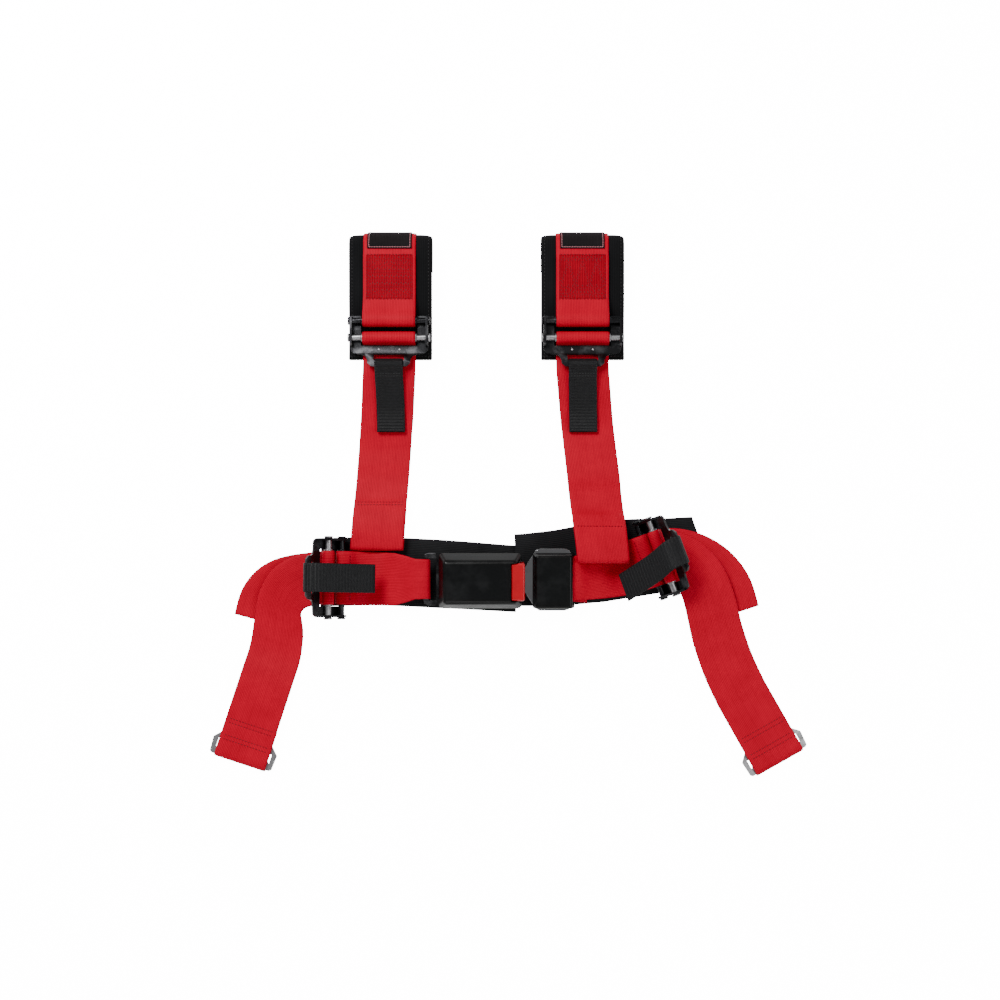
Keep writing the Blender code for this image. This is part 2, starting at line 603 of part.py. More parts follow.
BUCKLE_FRAME = Matrix.Translation(BUCKLE_PLACE) @ Matrix.Rotation(math.radians(BUCKLE_ROLL), 4, "X")
BUCKLE_ACROSS = (BUCKLE_FRAME.to_3x3() @ Vector((0, 1, 0))).normalized()
FRAME_Z = TONGUE_Z - TONGUE_THICKNESS / 2 - GAP - FRAME_PLATE / 2
TONGUE_BAR = 0.0050
TONGUE_BAR_X = 0.0835
TONGUE_LOOP = math.hypot(TONGUE_BAR / 2, TONGUE_THICKNESS / 2) + GAP + WEB_THICKNESS / 2
LAP_BAR_Z = 0.0142
PAD_LOW = LAP_PAD_THICKNESS / 2
ENTRY_HALF = 0.0190  # half width of the web gathered into the buckle's tail
TONGUE_WEB_HALF = 0.0215


def end_loop(middle, radius, half_width, start, end, back):
    """Stations round a bar across the buckle, then the return ply; angles run in the X-Z plane."""
    half = BUCKLE_ACROSS * half_width
    stations = []
    for a, z in arc((0, 0), radius, start, end, 9):
        stations.append((middle + Vector((a, 0, z)), half))
    for a, z, wide in back:
        stations.append((middle + Vector((a, 0, z)), BUCKLE_ACROSS * wide))
    return stations


lap_pad("left", [(-0.173, -0.0690, PAD_LOW, 0, 0.0330), (-0.120, -0.0680, PAD_LOW, 0, 0.0330),
                 (-0.060, -0.0705, PAD_LOW, -3, 0.0330), (0.017, -0.0755, PAD_LOW, -3, 0.0320)])
OVER = LAP_PAD_THICKNESS + 2 * GAP
lap_pad("right", [(0.0150, -0.0670, PAD_LOW + OVER, 2, 0.0345), (0.0230, -0.0668, PAD_LOW + OVER, 2, 0.0348),
                  (0.0360, -0.0660, PAD_LOW + OVER * 0.55, 2, 0.0355), (0.0520, -0.0650, PAD_LOW, 2, 0.0365),
                  (0.096, -0.0590, PAD_LOW, 5, 0.0390), (0.134, -0.0545, PAD_LOW, 9, 0.0375),
                  (0.165, -0.0515, PAD_LOW, 14, 0.0355), (0.197, -0.0480, PAD_LOW, 19, 0.0345)])


def left_route(half):
    ply = LAP_PAD_THICKNESS + GAP + 0.0004 + WEB_THICKNESS / 2 + PLY + 0.0002
    route = [(-0.1450, -0.0746, LAP_BAR_Z + 0.0045), (-0.137, -0.0748, 0.0128), (-0.127, -0.0750, ply + 0.0012)]
    route += [(-0.115, -0.0753, ply + 0.0010)]
    stations = [(Vector(p), half) for p in route]
    bar = rolled(TAIL_BAR_X, 0, FRAME_Z)
    gather = [(-0.030, 0.35, 0.0250), (-0.020, 0.62, 0.0225), (-0.010, 0.90, ENTRY_HALF + 0.0004)]
    for step, rise, wide in gather:
        z = ply + 0.001 + (bar.z + TAIL_LOOP - ply) * rise
        lean = half.normalized().lerp(BUCKLE_ACROSS * -1, rise).normalized()
        stations.append((Vector((bar.x + step, bar.y, z)), lean * wide))
    return stations


def left_end():
    bar = rolled(TAIL_BAR_X, 0, FRAME_Z)
    back = [(-0.009, -TAIL_LOOP + 0.0010, ENTRY_HALF), (-0.017, -TAIL_LOOP - 0.0006, 0.0195)]
    stations = end_loop(bar, TAIL_LOOP, ENTRY_HALF, 90, -90, back)
    return [(p, -h) for p, h in stations]


def right_route(half):
    ply = LAP_PAD_THICKNESS + GAP + 0.0004 + WEB_THICKNESS / 2 + PLY + 0.0002
    route = [(0.1375, -0.0603, LAP_BAR_Z + 0.0045), (0.130, -0.0628, 0.0128), (0.121, -0.0655, ply + 0.0014)]
    leans = [0.0, 0.10, 0.25]
    stations = []
    bar = rolled(TONGUE_BAR_X, 0, TONGUE_Z)
    target = BUCKLE_ACROSS
    for p, lean in zip(route, leans):
        stations.append((Vector(p), half.normalized().lerp(target, lean).normalized() * WEB_WIDTH / 2))
    gather = [(0.044, 0.03, 0.0253), (0.032, 0.16, 0.0244), (0.020, 0.50, 0.0230), (0.009, 0.90, TONGUE_WEB_HALF)]
    for step, rise, wide in gather:
        z = ply + 0.001 + (bar.z + TONGUE_LOOP - ply) * rise
        y = bar.y + (route[-1][1] - bar.y) * step / (route[-1][0] - bar.x)
        lean = half.normalized().lerp(target, 0.35 + 0.65 * rise).normalized()
        stations.append((Vector((bar.x + step, y, z)), lean * wide))
    return stations


def right_end():
    bar = rolled(TONGUE_BAR_X, 0, TONGUE_Z)
    back = [(0.009, -TONGUE_LOOP + 0.0008, TONGUE_WEB_HALF), (0.018, -TONGUE_LOOP - 0.0026, 0.0222)]
    return end_loop(bar, TONGUE_LOOP, TONGUE_WEB_HALF, 90, 270, back)


lap_half("left", (-0.1515, -0.0745, LAP_BAR_Z), 180, left_route, left_end(),
         [(-0.1695, -0.0745, 0.0205, 180), (-0.1745, -0.0751, 0.0165, 183), (-0.1825, -0.0763, 0.0150, 187),
          (-0.1925, -0.0790, 0.0138, 195), (-0.2010, -0.0845, 0.0125, 207), (-0.2067, -0.0924, 0.0110, 221),
          (-0.2105, -0.1048, 0.0085, 237), (-0.2123, -0.1215, 0.0055, 248), (-0.2155, -0.1450, 0.0052, 252),
          (-0.2220, -0.1680, 0.0085, 252), (-0.2285, -0.1890, 0.0097, 252), (-0.2440, -0.2375, 0.0097, 252)],
         [(-0.1670, -0.0745, 0.0187, 180), (-0.1720, -0.0748, 0.0138, 182), (-0.1835, -0.0758, 0.0115, 184),
          (-0.1975, -0.0777, 0.0080, 189), (-0.2115, -0.0817, 0.0050, 198), (-0.2220, -0.0891, 0.0025, 213),
          (-0.2284, -0.1002, 0.0013, 235), (-0.2314, -0.1159, 0.0012, 255)],
         (-0.2468, -0.2462, LOOP_Z, 252))

lap_half("right", (0.1437, -0.0580, LAP_BAR_Z), 20, right_route, right_end(),
         [(0.1600, -0.0530, 0.0205, 14), (0.1650, -0.0545, 0.0170, 4), (0.1730, -0.0580, 0.0150, -10),
          (0.1830, -0.0650, 0.0142, -27), (0.1920, -0.0760, 0.0132, -44), (0.1985, -0.0900, 0.0115, -57),
          (0.2035, -0.1070, 0.0090, -65), (0.2090, -0.1290, 0.0058, -67), (0.2180, -0.1570, 0.0075, -64),
          (0.2280, -0.1800, 0.0095, -61), (0.2340, -0.1915, 0.0097, -61), (0.2600, -0.2380, 0.0097, -61)],
         [(0.1575, -0.0530, 0.0192, 17), (0.1625, -0.0522, 0.0142, 8), (0.1730, -0.0530, 0.0120, -4),
          (0.1870, -0.0570, 0.0102, -17), (0.2010, -0.0650, 0.0082, -31), (0.2120, -0.0760, 0.0064, -46),
          (0.2200, -0.0900, 0.0048, -60), (0.2250, -0.1090, 0.0036, -72)],
         (0.2647, -0.2462, LOOP_Z, -61))


# ---------------------------------------------------------------- push-button buckle
COVER_START = -0.0395
COVER_END = 0.0390
COVER_HALF = BUCKLE_WIDTH / 2
HALF_HEIGHT = BUCKLE_HEIGHT / 2
BUTTON_START = 0.0289
BUTTON_HALF = 0.0178
NECK_HALF = 0.0165
PIVOT = (-0.0080, 0.0010)
PIN_RADIUS = 0.0018
LATCH_HALF = 0.0095
LATCH_SLOT = (0.0180, 0.0265)
TONGUE_TIP = 0.0080


def half_shell(name, holder, height, inset, start, end, low_y, high_y, part_z, down):
    """One moulded half: a rounded block with a sharp parting edge, hollowed to an even wall."""
    block = box_mesh(name, (start, low_y, 0), (end, high_y, height), 0.0034, 3, inset, True)
    wall = COVER_WALL
    low = (start + wall, low_y + wall, -0.002)
    room = box_mesh("room", low, (end - wall, high_y - wall, height - wall), 0.0018, 1, inset, True)
    turn = Matrix.Translation((0, 0, part_z))
    if down:
        turn = turn @ Matrix.Diagonal((1, 1, -1, 1))
    for mesh in (block, room):
        mesh.transform(turn)
        if down:
            mesh.flip_normals()
    shell = add(name, block, "black_plastic", holder)
    cut(shell, room)
    return shell


def coil(name, holder, start, end, radius, turns, wire=0.00035):
    """A coil spring between two points."""
    start = Vector(start)
    end = Vector(end)
    axis = (end - start).normalized()
    side = axis.orthogonal().normalized()
    other = axis.cross(side)
    curve = bpy.data.curves.new(name, "CURVE")
    curve.dimensions = "3D"
    curve.bevel_depth = wire
    curve.bevel_resolution = 2
    curve.use_fill_caps = True
    spline = curve.splines.new("POLY")
    steps = int(turns * 9)
    spline.points.add(steps)
    for i, point in enumerate(spline.points):
        a = 2 * math.pi * turns * i / steps
        place_at = start.lerp(end, i / steps) + side * radius * math.cos(a) + other * radius * math.sin(a)
        point.co = (*place_at, 1.0)
    obj = bpy.data.objects.new(name, curve)
    PARTS.objects.link(obj)
    obj.parent = holder
    obj.data.materials.append(material(name + "_spring_steel", (0.4, 0.4, 0.42), 0.3, 1.0))


def buckle():
    """Two cover halves over a steel frame with the latch, button, ejector, springs and screws."""
    holder = place("buckle_axis", HARNESS, BUCKLE_FRAME)
    top = half_shell("buckle_cover_top", holder, HALF_HEIGHT - 0.0002, (0.0050, COVER_DRAFT), COVER_START, COVER_END,
                     -COVER_HALF, COVER_HALF, 0.0002, False)
    notch = box_mesh("notch", (BUTTON_START - GAP, -BUTTON_HALF - 0.0004, -0.02), (0.06, BUTTON_HALF + 0.0004, 0.02))
    cut(top, notch)
    bottom = half_shell("buckle_cover_bottom", holder, HALF_HEIGHT - 0.0002, (0.0025, 0.0030), COVER_START, COVER_END,
                        -COVER_HALF, COVER_HALF, -0.0002, True)
    mouth_half = BUTTON_HALF + 0.0004
    cut(bottom, box_mesh("mouth", (0.030, -mouth_half, FRAME_Z + 0.0012), (0.06, mouth_half, 0.01)))
    cut(bottom, box_mesh("neck", (-0.06, -NECK_HALF - 0.0005, FRAME_Z - FRAME_PLATE / 2 - GAP),
                         (-0.030, NECK_HALF + 0.0005, FRAME_Z + FRAME_PLATE / 2 + GAP)))
    floor = -HALF_HEIGHT
    for number, (x, y) in enumerate([(-0.028, 0.0202), (-0.028, -0.0202), (0.024, 0.0202), (0.024, -0.0202)]):
        cut(bottom, rod_mesh("boss", 0.0030, (x, y, floor + 0.0010), (x, y, -0.0010), 12), "UNION")
        cut(bottom, rod_mesh("bore", SCREW_RADIUS - 0.0004 + GAP, (x, y, floor - 0.01), (x, y, 0.01), 12))
        profile = [(0.0, -0.0030), (SCREW_RADIUS - 0.0004, -0.0030), (SCREW_RADIUS - 0.0004, floor - GAP)]
        profile += [(0.0030, floor - GAP), (0.0026, floor - 0.0014), (0.0, floor - 0.0014)]
        shape = turned_mesh("cover_screw", profile, (x, y, 0), (0, 0, 1), 12)
        add("cover_screw_" + str(number + 1), shape, "zinc_steel", holder)

    bar = TAIL_BAR / 2
    ends = TAIL_BAR_X - bar
    wide = 0.0252
    half = [(ends, wide - 0.004), (ends + 0.0015, wide - 0.001), (ends + 0.005, wide)]
    half += [(COVER_START - 0.0032, wide), (COVER_START - 0.0008, NECK_HALF), (0.0300, NECK_HALF)]
    outline = half + [(x, -y) for x, y in reversed(half)]
    frame = add("buckle_frame", outline_mesh("buckle_frame", outline, FRAME_PLATE, FRAME_Z), "black_steel", holder)
    cut(frame, box_mesh("slot", (TAIL_BAR_X + bar, -0.0203, -0.03), (TAIL_BAR_X + bar + TAIL_SLOT, 0.0203, 0.03)))
    for side in (-1, 1):
        middle = side * (NECK_HALF - 0.0010)
        flange = box_mesh("flange", (-0.020, middle - 0.0010, FRAME_Z), (0.026, middle + 0.0010, 0.0045))
        cut(frame, flange, "UNION")
    x, z = PIVOT
    reach = NECK_HALF + 0.0020
    cut(frame, rod_mesh("bore", PIN_RADIUS + 0.0001, (x, -reach, z), (x, reach, z), 14))
    reach -= 0.0005
    add("latch_pin", rod_mesh("latch_pin", PIN_RADIUS, (x, -reach, z), (x, reach, z), 14), "zinc_steel", holder)

    turn = Matrix.Translation((x, 0, z))
    hinge = place("latch_axis", holder, turn)
    latch = add("latch_pawl", box_mesh("latch_pawl", (-0.0030, -LATCH_HALF, -0.0020), (0.0302, LATCH_HALF, 0.0005)),
                "zinc_steel", hinge)
    tooth_foot = TONGUE_Z + TONGUE_THICKNESS / 2 + GAP - z
    cut(latch, box_mesh("tooth", (0.0270, -0.0070, tooth_foot), (0.0302, 0.0070, -0.0010)), "UNION")
    cut(latch, rod_mesh("boss", 0.0036, (0, -LATCH_HALF, 0), (0, LATCH_HALF, 0), 14), "UNION")
    cut(latch, rod_mesh("bore", PIN_RADIUS + 0.0001, (0, -0.03, 0), (0, 0.03, 0), 14))
    coil("latch_spring", holder, (0.004, 0, 0.0021), (0.004, 0, 0.0095), 0.0022, 4)

    button_top = HALF_HEIGHT - 0.0016
    button = add("release_button", box_mesh("release_button", (BUTTON_START, -BUTTON_HALF, -0.0030),
                                            (0.0420, BUTTON_HALF, button_top), 0.0018, 2), "red_plastic", holder)
    for side in (-1, 1):
        arm = box_mesh("arm", (0.0080, side * 0.0120 - 0.0012, 0.0030), (0.0320, side * 0.0120 + 0.0012, 0.0060))
        cut(button, arm, "UNION")
    coil("button_spring", holder, (0.0125, 0, 0.0062), (BUTTON_START - 0.0008, 0, 0.0062), 0.0026, 6)

    add("ejector", box_mesh("ejector", (TONGUE_TIP - 0.0068, -0.0085, FRAME_Z + FRAME_PLATE / 2 + GAP),
                            (TONGUE_TIP - GAP, 0.0085, -0.0036), 0.0004, 1), "white_plastic", holder)
    coil("ejector_spring", holder, (-0.0150, 0, -0.0061), (TONGUE_TIP - 0.0075, 0, -0.0061), 0.0018, 6, 0.0003)


def tongue():
    """Chrome steel tongue with its latch slot and strap slot, and a two-part plastic cover."""
    holder = place("tongue_axis", HARNESS, BUCKLE_FRAME)
    end = TONGUE_BAR_X + TONGUE_BAR / 2
    half = [(TONGUE_TIP + 0.0020 + p[0], 0.0090 + p[1]) for p in arc((0, 0), 0.0020, 180, 110, 3)]
    half += [(0.0105, 0.0118), (0.0400, 0.0118), (0.0425, 0.0128), (0.0520, 0.0275), (0.0560, 0.0298)]
    half += [(end - 0.006, 0.0298), (end - 0.0018, 0.0285), (end, 0.0255)]
    outline = half + [(x, -y) for x, y in reversed(half)]
    plate = add("tongue_plate", outline_mesh("tongue_plate", outline, TONGUE_THICKNESS, TONGUE_Z), "chrome", holder)
    cut(plate, box_mesh("slot", (LATCH_SLOT[0], -0.0076, -0.03), (LATCH_SLOT[1], 0.0076, 0.03)))
    slot_end = TONGUE_BAR_X - TONGUE_BAR / 2
    slot_half = TONGUE_WEB_HALF + 0.0015
    cut(plate, box_mesh("slot", (slot_end - 0.0095, -slot_half, -0.03), (slot_end, slot_half, 0.03)))
    for name, height, down in (("tongue_cover_top", 0.0088, False), ("tongue_cover_bottom", 0.0070, True)):
        sign = -1 if down else 1
        part_z = TONGUE_Z + sign * (TONGUE_THICKNESS / 2 + GAP)
        block = box_mesh(name, (0.0495, -0.0275, 0), (0.0895, 0.0256, height), 0.0022, 3, (0.0030, 0.0012), True)
        cavity = 0.0058 if down else 0.0078
        clear = TONGUE_WEB_HALF + 0.0020
        room = box_mesh("room", (0.0700, -clear, -0.01), (0.1, clear, cavity - 0.0012))
        turn = Matrix.Translation((0, 0, part_z)) @ Matrix.Diagonal((1, 1, sign, 1))
        for mesh in (block, room):
            mesh.transform(turn)
            if down:
                mesh.flip_normals()
        cover = add(name, block, "black_plastic", holder)
        cut(cover, room)


buckle()
tongue()


# ---------------------------------------------------------------- origin under the middle of the whole box
def centre_on_table():
    """Move the harness so that its origin is the middle of its box, on the table."""
    bpy.context.view_layer.update()
    graph = bpy.context.evaluated_depsgraph_get()
    low = Vector((1e9, 1e9, 1e9))
    high = -low
    for obj in PARTS.objects:
        if obj.type != "MESH":
            continue
        solid = obj.evaluated_get(graph)
        for vert in solid.data.vertices:
            point = solid.matrix_world @ vert.co
            low = Vector(map(min, low, point))
            high = Vector(map(max, high, point))
    HARNESS.location = (-(low.x + high.x) / 2, -(low.y + high.y) / 2, -low.z)


centre_on_table()
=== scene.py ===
import math

import bpy
import bmesh
from mathutils import Matrix, Vector
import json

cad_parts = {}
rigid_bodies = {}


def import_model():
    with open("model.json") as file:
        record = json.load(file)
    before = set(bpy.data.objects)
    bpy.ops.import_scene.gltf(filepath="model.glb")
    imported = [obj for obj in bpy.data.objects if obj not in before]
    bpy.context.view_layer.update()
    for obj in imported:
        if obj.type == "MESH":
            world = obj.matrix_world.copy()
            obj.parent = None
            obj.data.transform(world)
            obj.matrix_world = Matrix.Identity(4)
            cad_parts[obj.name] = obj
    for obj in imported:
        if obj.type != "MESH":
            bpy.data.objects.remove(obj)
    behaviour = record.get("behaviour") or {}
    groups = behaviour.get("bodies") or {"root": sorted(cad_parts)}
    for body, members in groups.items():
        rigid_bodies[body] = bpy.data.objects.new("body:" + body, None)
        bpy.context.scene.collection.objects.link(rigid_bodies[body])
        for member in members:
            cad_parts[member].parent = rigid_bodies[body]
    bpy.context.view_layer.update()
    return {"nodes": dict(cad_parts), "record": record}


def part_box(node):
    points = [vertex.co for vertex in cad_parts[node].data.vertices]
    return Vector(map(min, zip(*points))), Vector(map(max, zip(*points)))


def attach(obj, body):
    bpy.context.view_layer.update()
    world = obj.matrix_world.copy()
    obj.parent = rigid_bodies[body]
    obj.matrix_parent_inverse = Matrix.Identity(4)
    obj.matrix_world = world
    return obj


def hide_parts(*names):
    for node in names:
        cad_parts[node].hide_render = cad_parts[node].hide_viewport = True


# ---------------------------------------------------------------- the harness on its table
# The harness lies on a pale table under a soft overhead light and is seen from straight above, a little
# from the lap side. Every place below is measured from a point between the two halves of the lap belt.
for leftover in list(bpy.data.objects):
    bpy.data.objects.remove(leftover, do_unlink=True)
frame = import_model()

SHOULDER_X = {"left": -0.1067, "right": 0.0795}
BAR_Y = 0.1720
low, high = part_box("shoulder_adjuster_left_fixed_bar")
ORIGIN = Vector(((low.x + high.x) / 2 - SHOULDER_X["left"], (low.y + high.y) / 2 - BAR_Y, 0.0))

VIEW_DISTANCE = 1.25
VIEW_LEAN = math.radians(4.0)
VIEW_POINT = ORIGIN + Vector((0.0, 0.0, 0.015))
camera_data = bpy.data.cameras.new("camera")
camera_data.lens = 46.9
camera_data.sensor_width = 36.0
camera = bpy.data.objects.new("camera", camera_data)
bpy.context.scene.collection.objects.link(camera)
back = Vector((0, -math.sin(VIEW_LEAN), math.cos(VIEW_LEAN)))
camera.location = VIEW_POINT + back * VIEW_DISTANCE
camera.rotation_euler = (VIEW_LEAN, 0.0, 0.0)
bpy.context.scene.camera = camera


def soft_light(name, place, size, watts, aim=(0, 0, 0)):
    """A square softbox aimed at a point."""
    data = bpy.data.lights.new(name, "AREA")
    data.shape = "SQUARE"
    data.size = size
    data.energy = watts
    lamp = bpy.data.objects.new(name, data)
    bpy.context.scene.collection.objects.link(lamp)
    lamp.location = place
    lamp.rotation_euler = (Vector(aim) - Vector(place)).to_track_quat("-Z", "Y").to_euler()
    return lamp


soft_light("key_softbox", (-0.60, 0.80, 1.30), 0.6, 26.0)
soft_light("fill_softbox", (0.95, -0.25, 1.2), 0.9, 8.0)
soft_light("front_softbox", (-0.2, -1.1, 0.9), 0.8, 4.0)
world = bpy.data.worlds.new("studio")
bpy.context.scene.world = world
world.use_nodes = True
world.node_tree.nodes["Background"].inputs["Color"].default_value = (1.0, 1.0, 1.0, 1.0)
world.node_tree.nodes["Background"].inputs["Strength"].default_value = 0.36

bpy.ops.mesh.primitive_plane_add(size=8.0, location=(0, 0, 0))
floor = bpy.context.object
floor.name = "floor"
table = bpy.data.materials.new("white_table")
table.use_nodes = True
table_top = table.node_tree.nodes["Principled BSDF"]
table_top.inputs["Base Color"].default_value = (0.93, 0.93, 0.93, 1.0)
table_top.inputs["Roughness"].default_value = 0.8
table_top.inputs["Emission Color"].default_value = (1.0, 1.0, 1.0, 1.0)
seen = table.node_tree.nodes.new("ShaderNodeLightPath")
glow = table.node_tree.nodes.new("ShaderNodeMath")
glow.operation = "MULTIPLY_ADD"
glow.inputs[1].default_value = 14.0
glow.inputs[2].default_value = 0.6
table.node_tree.links.new(seen.outputs["Is Camera Ray"], glow.inputs[0])
table.node_tree.links.new(glow.outputs[0], table_top.inputs["Emission Strength"])
floor.data.materials.append(table)


# ---------------------------------------------------------------- red webbing
# Two-inch polyester webbing, 1.3 mm thick, woven in fine ribs along its length with thin grooves between
# broader bands. It has a slight sheen, and every loop and splice is sewn with a matching red thread.
WEB = 0.0508
WEB_THICK = 0.0013
GAP = 0.0003
PLY = WEB_THICK + GAP


class Nodes:
    """Short hand for wiring one shader tree."""

    def __init__(self, tree):
        self.tree = tree

    def add(self, kind, **settings):
        node = self.tree.nodes.new(kind)
        for key, value in settings.items():
            setattr(node, key, value)
        return node

    def link(self, source, target):
        self.tree.links.new(source, target)

    def math(self, operation, a, b=0.0, c=0.0):
        node = self.add("ShaderNodeMath", operation=operation)
        for socket, value in zip(node.inputs, (a, b, c)):
            if isinstance(value, (int, float)):
                socket.default_value = value
            else:
                self.link(value, socket)
        return node.outputs[0]

    def blend(self, factor, a, b):
        node = self.add("ShaderNodeMix", data_type="RGBA")
        for key, value in ((0, factor), (6, a), (7, b)):
            if isinstance(value, (int, float)):
                node.inputs[key].default_value = value
            elif isinstance(value, tuple):
                node.inputs[key].default_value = (*value, 1.0)
            else:
                self.link(value, node.inputs[key])
        return node.outputs[2]

    def noise(self, vector, scale, detail=3.0, roughness=0.5):
        node = self.add("ShaderNodeTexNoise")
        node.inputs["Scale"].default_value = scale
        node.inputs["Detail"].default_value = detail
        node.inputs["Roughness"].default_value = roughness
        self.link(vector, node.inputs["Vector"])
        return node.outputs["Fac"]


def group_tree(name, sockets_in, sockets_out):
    """An empty node group with float or vector inputs and float outputs."""
    tree = bpy.data.node_groups.new(name, "ShaderNodeTree")
    for label, kind, value in sockets_in:
        socket = tree.interface.new_socket(label, in_out="INPUT", socket_type=kind)
        if kind == "NodeSocketFloat":
            socket.default_value = value
    for label in sockets_out:
        tree.interface.new_socket(label, in_out="OUTPUT", socket_type="NodeSocketFloat")
    n = Nodes(tree)
    return tree, n, n.add("NodeGroupInput"), n.add("NodeGroupOutput")


def weave_group():
    """Ribs along the web crossed by picks, in bands with thin grooves between them."""
    ins = [("Coordinates", "NodeSocketVector", 0), ("Ribs", "NodeSocketFloat", 34),
           ("Picks", "NodeSocketFloat", 46), ("Bands", "NodeSocketFloat", 7),
           ("Cross", "NodeSocketFloat", 0.35)]
    tree, n, given, made = group_tree("webbing_weave", ins, ["Height", "Shade", "Soil"])
    split = n.add("ShaderNodeSeparateXYZ")
    n.link(given.outputs["Coordinates"], split.inputs[0])
    across, along = split.outputs[0], split.outputs[1]
    x = n.math("MULTIPLY", across, given.outputs["Ribs"])
    y = n.math("MULTIPLY", along, given.outputs["Picks"])
    rib = n.math("ABSOLUTE", n.math("SINE", n.math("MULTIPLY", x, math.pi)))
    brick = n.math("LESS_THAN", given.outputs["Cross"], 0.5)
    stagger = n.math("MULTIPLY", n.math("MULTIPLY", n.math("FLOOR", x), 0.5), brick)
    pick = n.math("SINE", n.math("MULTIPLY", n.math("ADD", y, stagger), 2 * math.pi))
    pick = n.math("MULTIPLY_ADD", pick, 0.5, 0.5)
    plain = n.math("SUBTRACT", 1.0, given.outputs["Cross"])
    cross = n.math("ADD", n.math("MULTIPLY", pick, given.outputs["Cross"]), plain)
    band = n.math("MULTIPLY", across, given.outputs["Bands"])
    groove = n.math("ABSOLUTE", n.math("SINE", n.math("MULTIPLY", band, math.pi)))
    groove = n.math("MINIMUM", n.math("MULTIPLY", groove, 7.0), 1.0)
    height = n.math("MULTIPLY", n.math("MULTIPLY", rib, cross), n.math("MULTIPLY_ADD", groove, 0.5, 0.5))
    drift = n.noise(given.outputs["Coordinates"], 2.2, 4.0, 0.6)
    fuzz = n.noise(given.outputs["Coordinates"], 60.0, 2.0, 0.6)
    # Shade: rib height darkens the colour in the grooves as painted shade; drift and fuzz add random tone.
    shade = n.math("ADD", n.math("MULTIPLY", height, 0.55), n.math("MULTIPLY", drift, 0.45))
    shade = n.math("ADD", shade, n.math("MULTIPLY_ADD", fuzz, 0.24, -0.12))
    soil = n.math("MINIMUM", n.math("MAXIMUM", n.math("MULTIPLY_ADD", drift, 4.0, -1.8), 0.0), 1.0)
    n.link(height, made.inputs["Height"])
    n.link(shade, made.inputs["Shade"])
    n.link(soil, made.inputs["Soil"])
    return tree


WEAVE = weave_group()


def webbing_material(name, dark, light, roughness, ribs, picks, bands, bump, gloss, cross=0.35):
    """Woven strap: colour between a dark and a light tone, darker in the grooves between ribs as painted
    shade and varied at random in tone, with ribs in relief.
    """
    made = bpy.data.materials.new(name)
    made.use_nodes = True
    n = Nodes(made.node_tree)
    shader = made.node_tree.nodes["Principled BSDF"]
    uv = n.add("ShaderNodeUVMap", uv_map="weave")
    weave = n.add("ShaderNodeGroup", node_tree=WEAVE)
    weave.inputs["Ribs"].default_value = ribs
    weave.inputs["Picks"].default_value = picks
    weave.inputs["Bands"].default_value = bands
    weave.inputs["Cross"].default_value = cross
    n.link(uv.outputs[0], weave.inputs["Coordinates"])
    n.link(n.blend(weave.outputs["Shade"], dark, light), shader.inputs["Base Color"])
    rough = n.math("MULTIPLY_ADD", weave.outputs["Shade"], -0.16, roughness + 0.08)
    n.link(rough, shader.inputs["Roughness"])
    relief = n.add("ShaderNodeBump")
    relief.inputs["Strength"].default_value = bump
    relief.inputs["Distance"].default_value = 0.0003
    n.link(weave.outputs["Height"], relief.inputs["Height"])
    n.link(relief.outputs[0], shader.inputs["Normal"])
    shader.inputs["Specular IOR Level"].default_value = gloss
    return made


def thread_material(name, color, roughness):
    """Sewing thread with a little twist and variation in tone."""
    made = bpy.data.materials.new(name)
    made.use_nodes = True
    n = Nodes(made.node_tree)
    shader = made.node_tree.nodes["Principled BSDF"]
    where = n.add("ShaderNodeTexCoord").outputs["Object"]
    speckle = n.noise(where, 2600.0, 2.0)
    dark = tuple(c * 0.6 for c in color)
    n.link(n.blend(speckle, dark, color), shader.inputs["Base Color"])
    relief = n.add("ShaderNodeBump")
    relief.inputs["Strength"].default_value = 0.4
    relief.inputs["Distance"].default_value = 0.0001
    n.link(speckle, relief.inputs["Height"])
    n.link(relief.outputs[0], shader.inputs["Normal"])
    shader.inputs["Roughness"].default_value = roughness
    return made


# The red's dark and light tones are the webbing in shade and in light.
RED_WEB = webbing_material("red_webbing", (0.22, 0.0, 0.007), (0.66, 0.0, 0.026), 0.5, 34, 46, 7, 0.35, 0.05)
RED_THREAD = thread_material("red_thread", (0.10, 0.0, 0.004), 0.6)


def arc(center, radius, start, end, steps):
    """Points on an arc in the (along, height) plane; angles in degrees."""
    points = []
    for i in range(steps + 1):
        a = math.radians(start + (end - start) * i / steps)
        points.append((center[0] + radius * math.cos(a), center[1] + radius * math.sin(a)))
    return points


def smooth(points, per_span=3):
    """Catmull-Rom points through the given ones."""
    result = []
    count = len(points)
    for i in range(count - 1):
        p0 = Vector(points[max(i - 1, 0)])
        p1 = Vector(points[i])
        p2 = Vector(points[i + 1])
        p3 = Vector(points[min(i + 2, count - 1)])
        for k in range(per_span):
            t = k / per_span
            a = 2 * p1 + (p2 - p0) * t
            b = (2 * p0 - 5 * p1 + 4 * p2 - p3) * t * t
            c = (3 * p1 - p0 - 3 * p2 + p3) * t ** 3
            result.append((a + b + c) / 2)
    result.append(Vector(points[-1]))
    return result


def offset_path(path, distance):
    """A path in the (along, height) plane moved sideways, to the left of its direction of travel."""
    moved = []
    for i, point in enumerate(path):
        a = Vector(path[max(i - 1, 0)])
        b = Vector(path[min(i + 1, len(path) - 1)])
        run = (b - a).normalized()
        moved.append((point[0] - run.y * distance, point[1] + run.x * distance))
    return moved


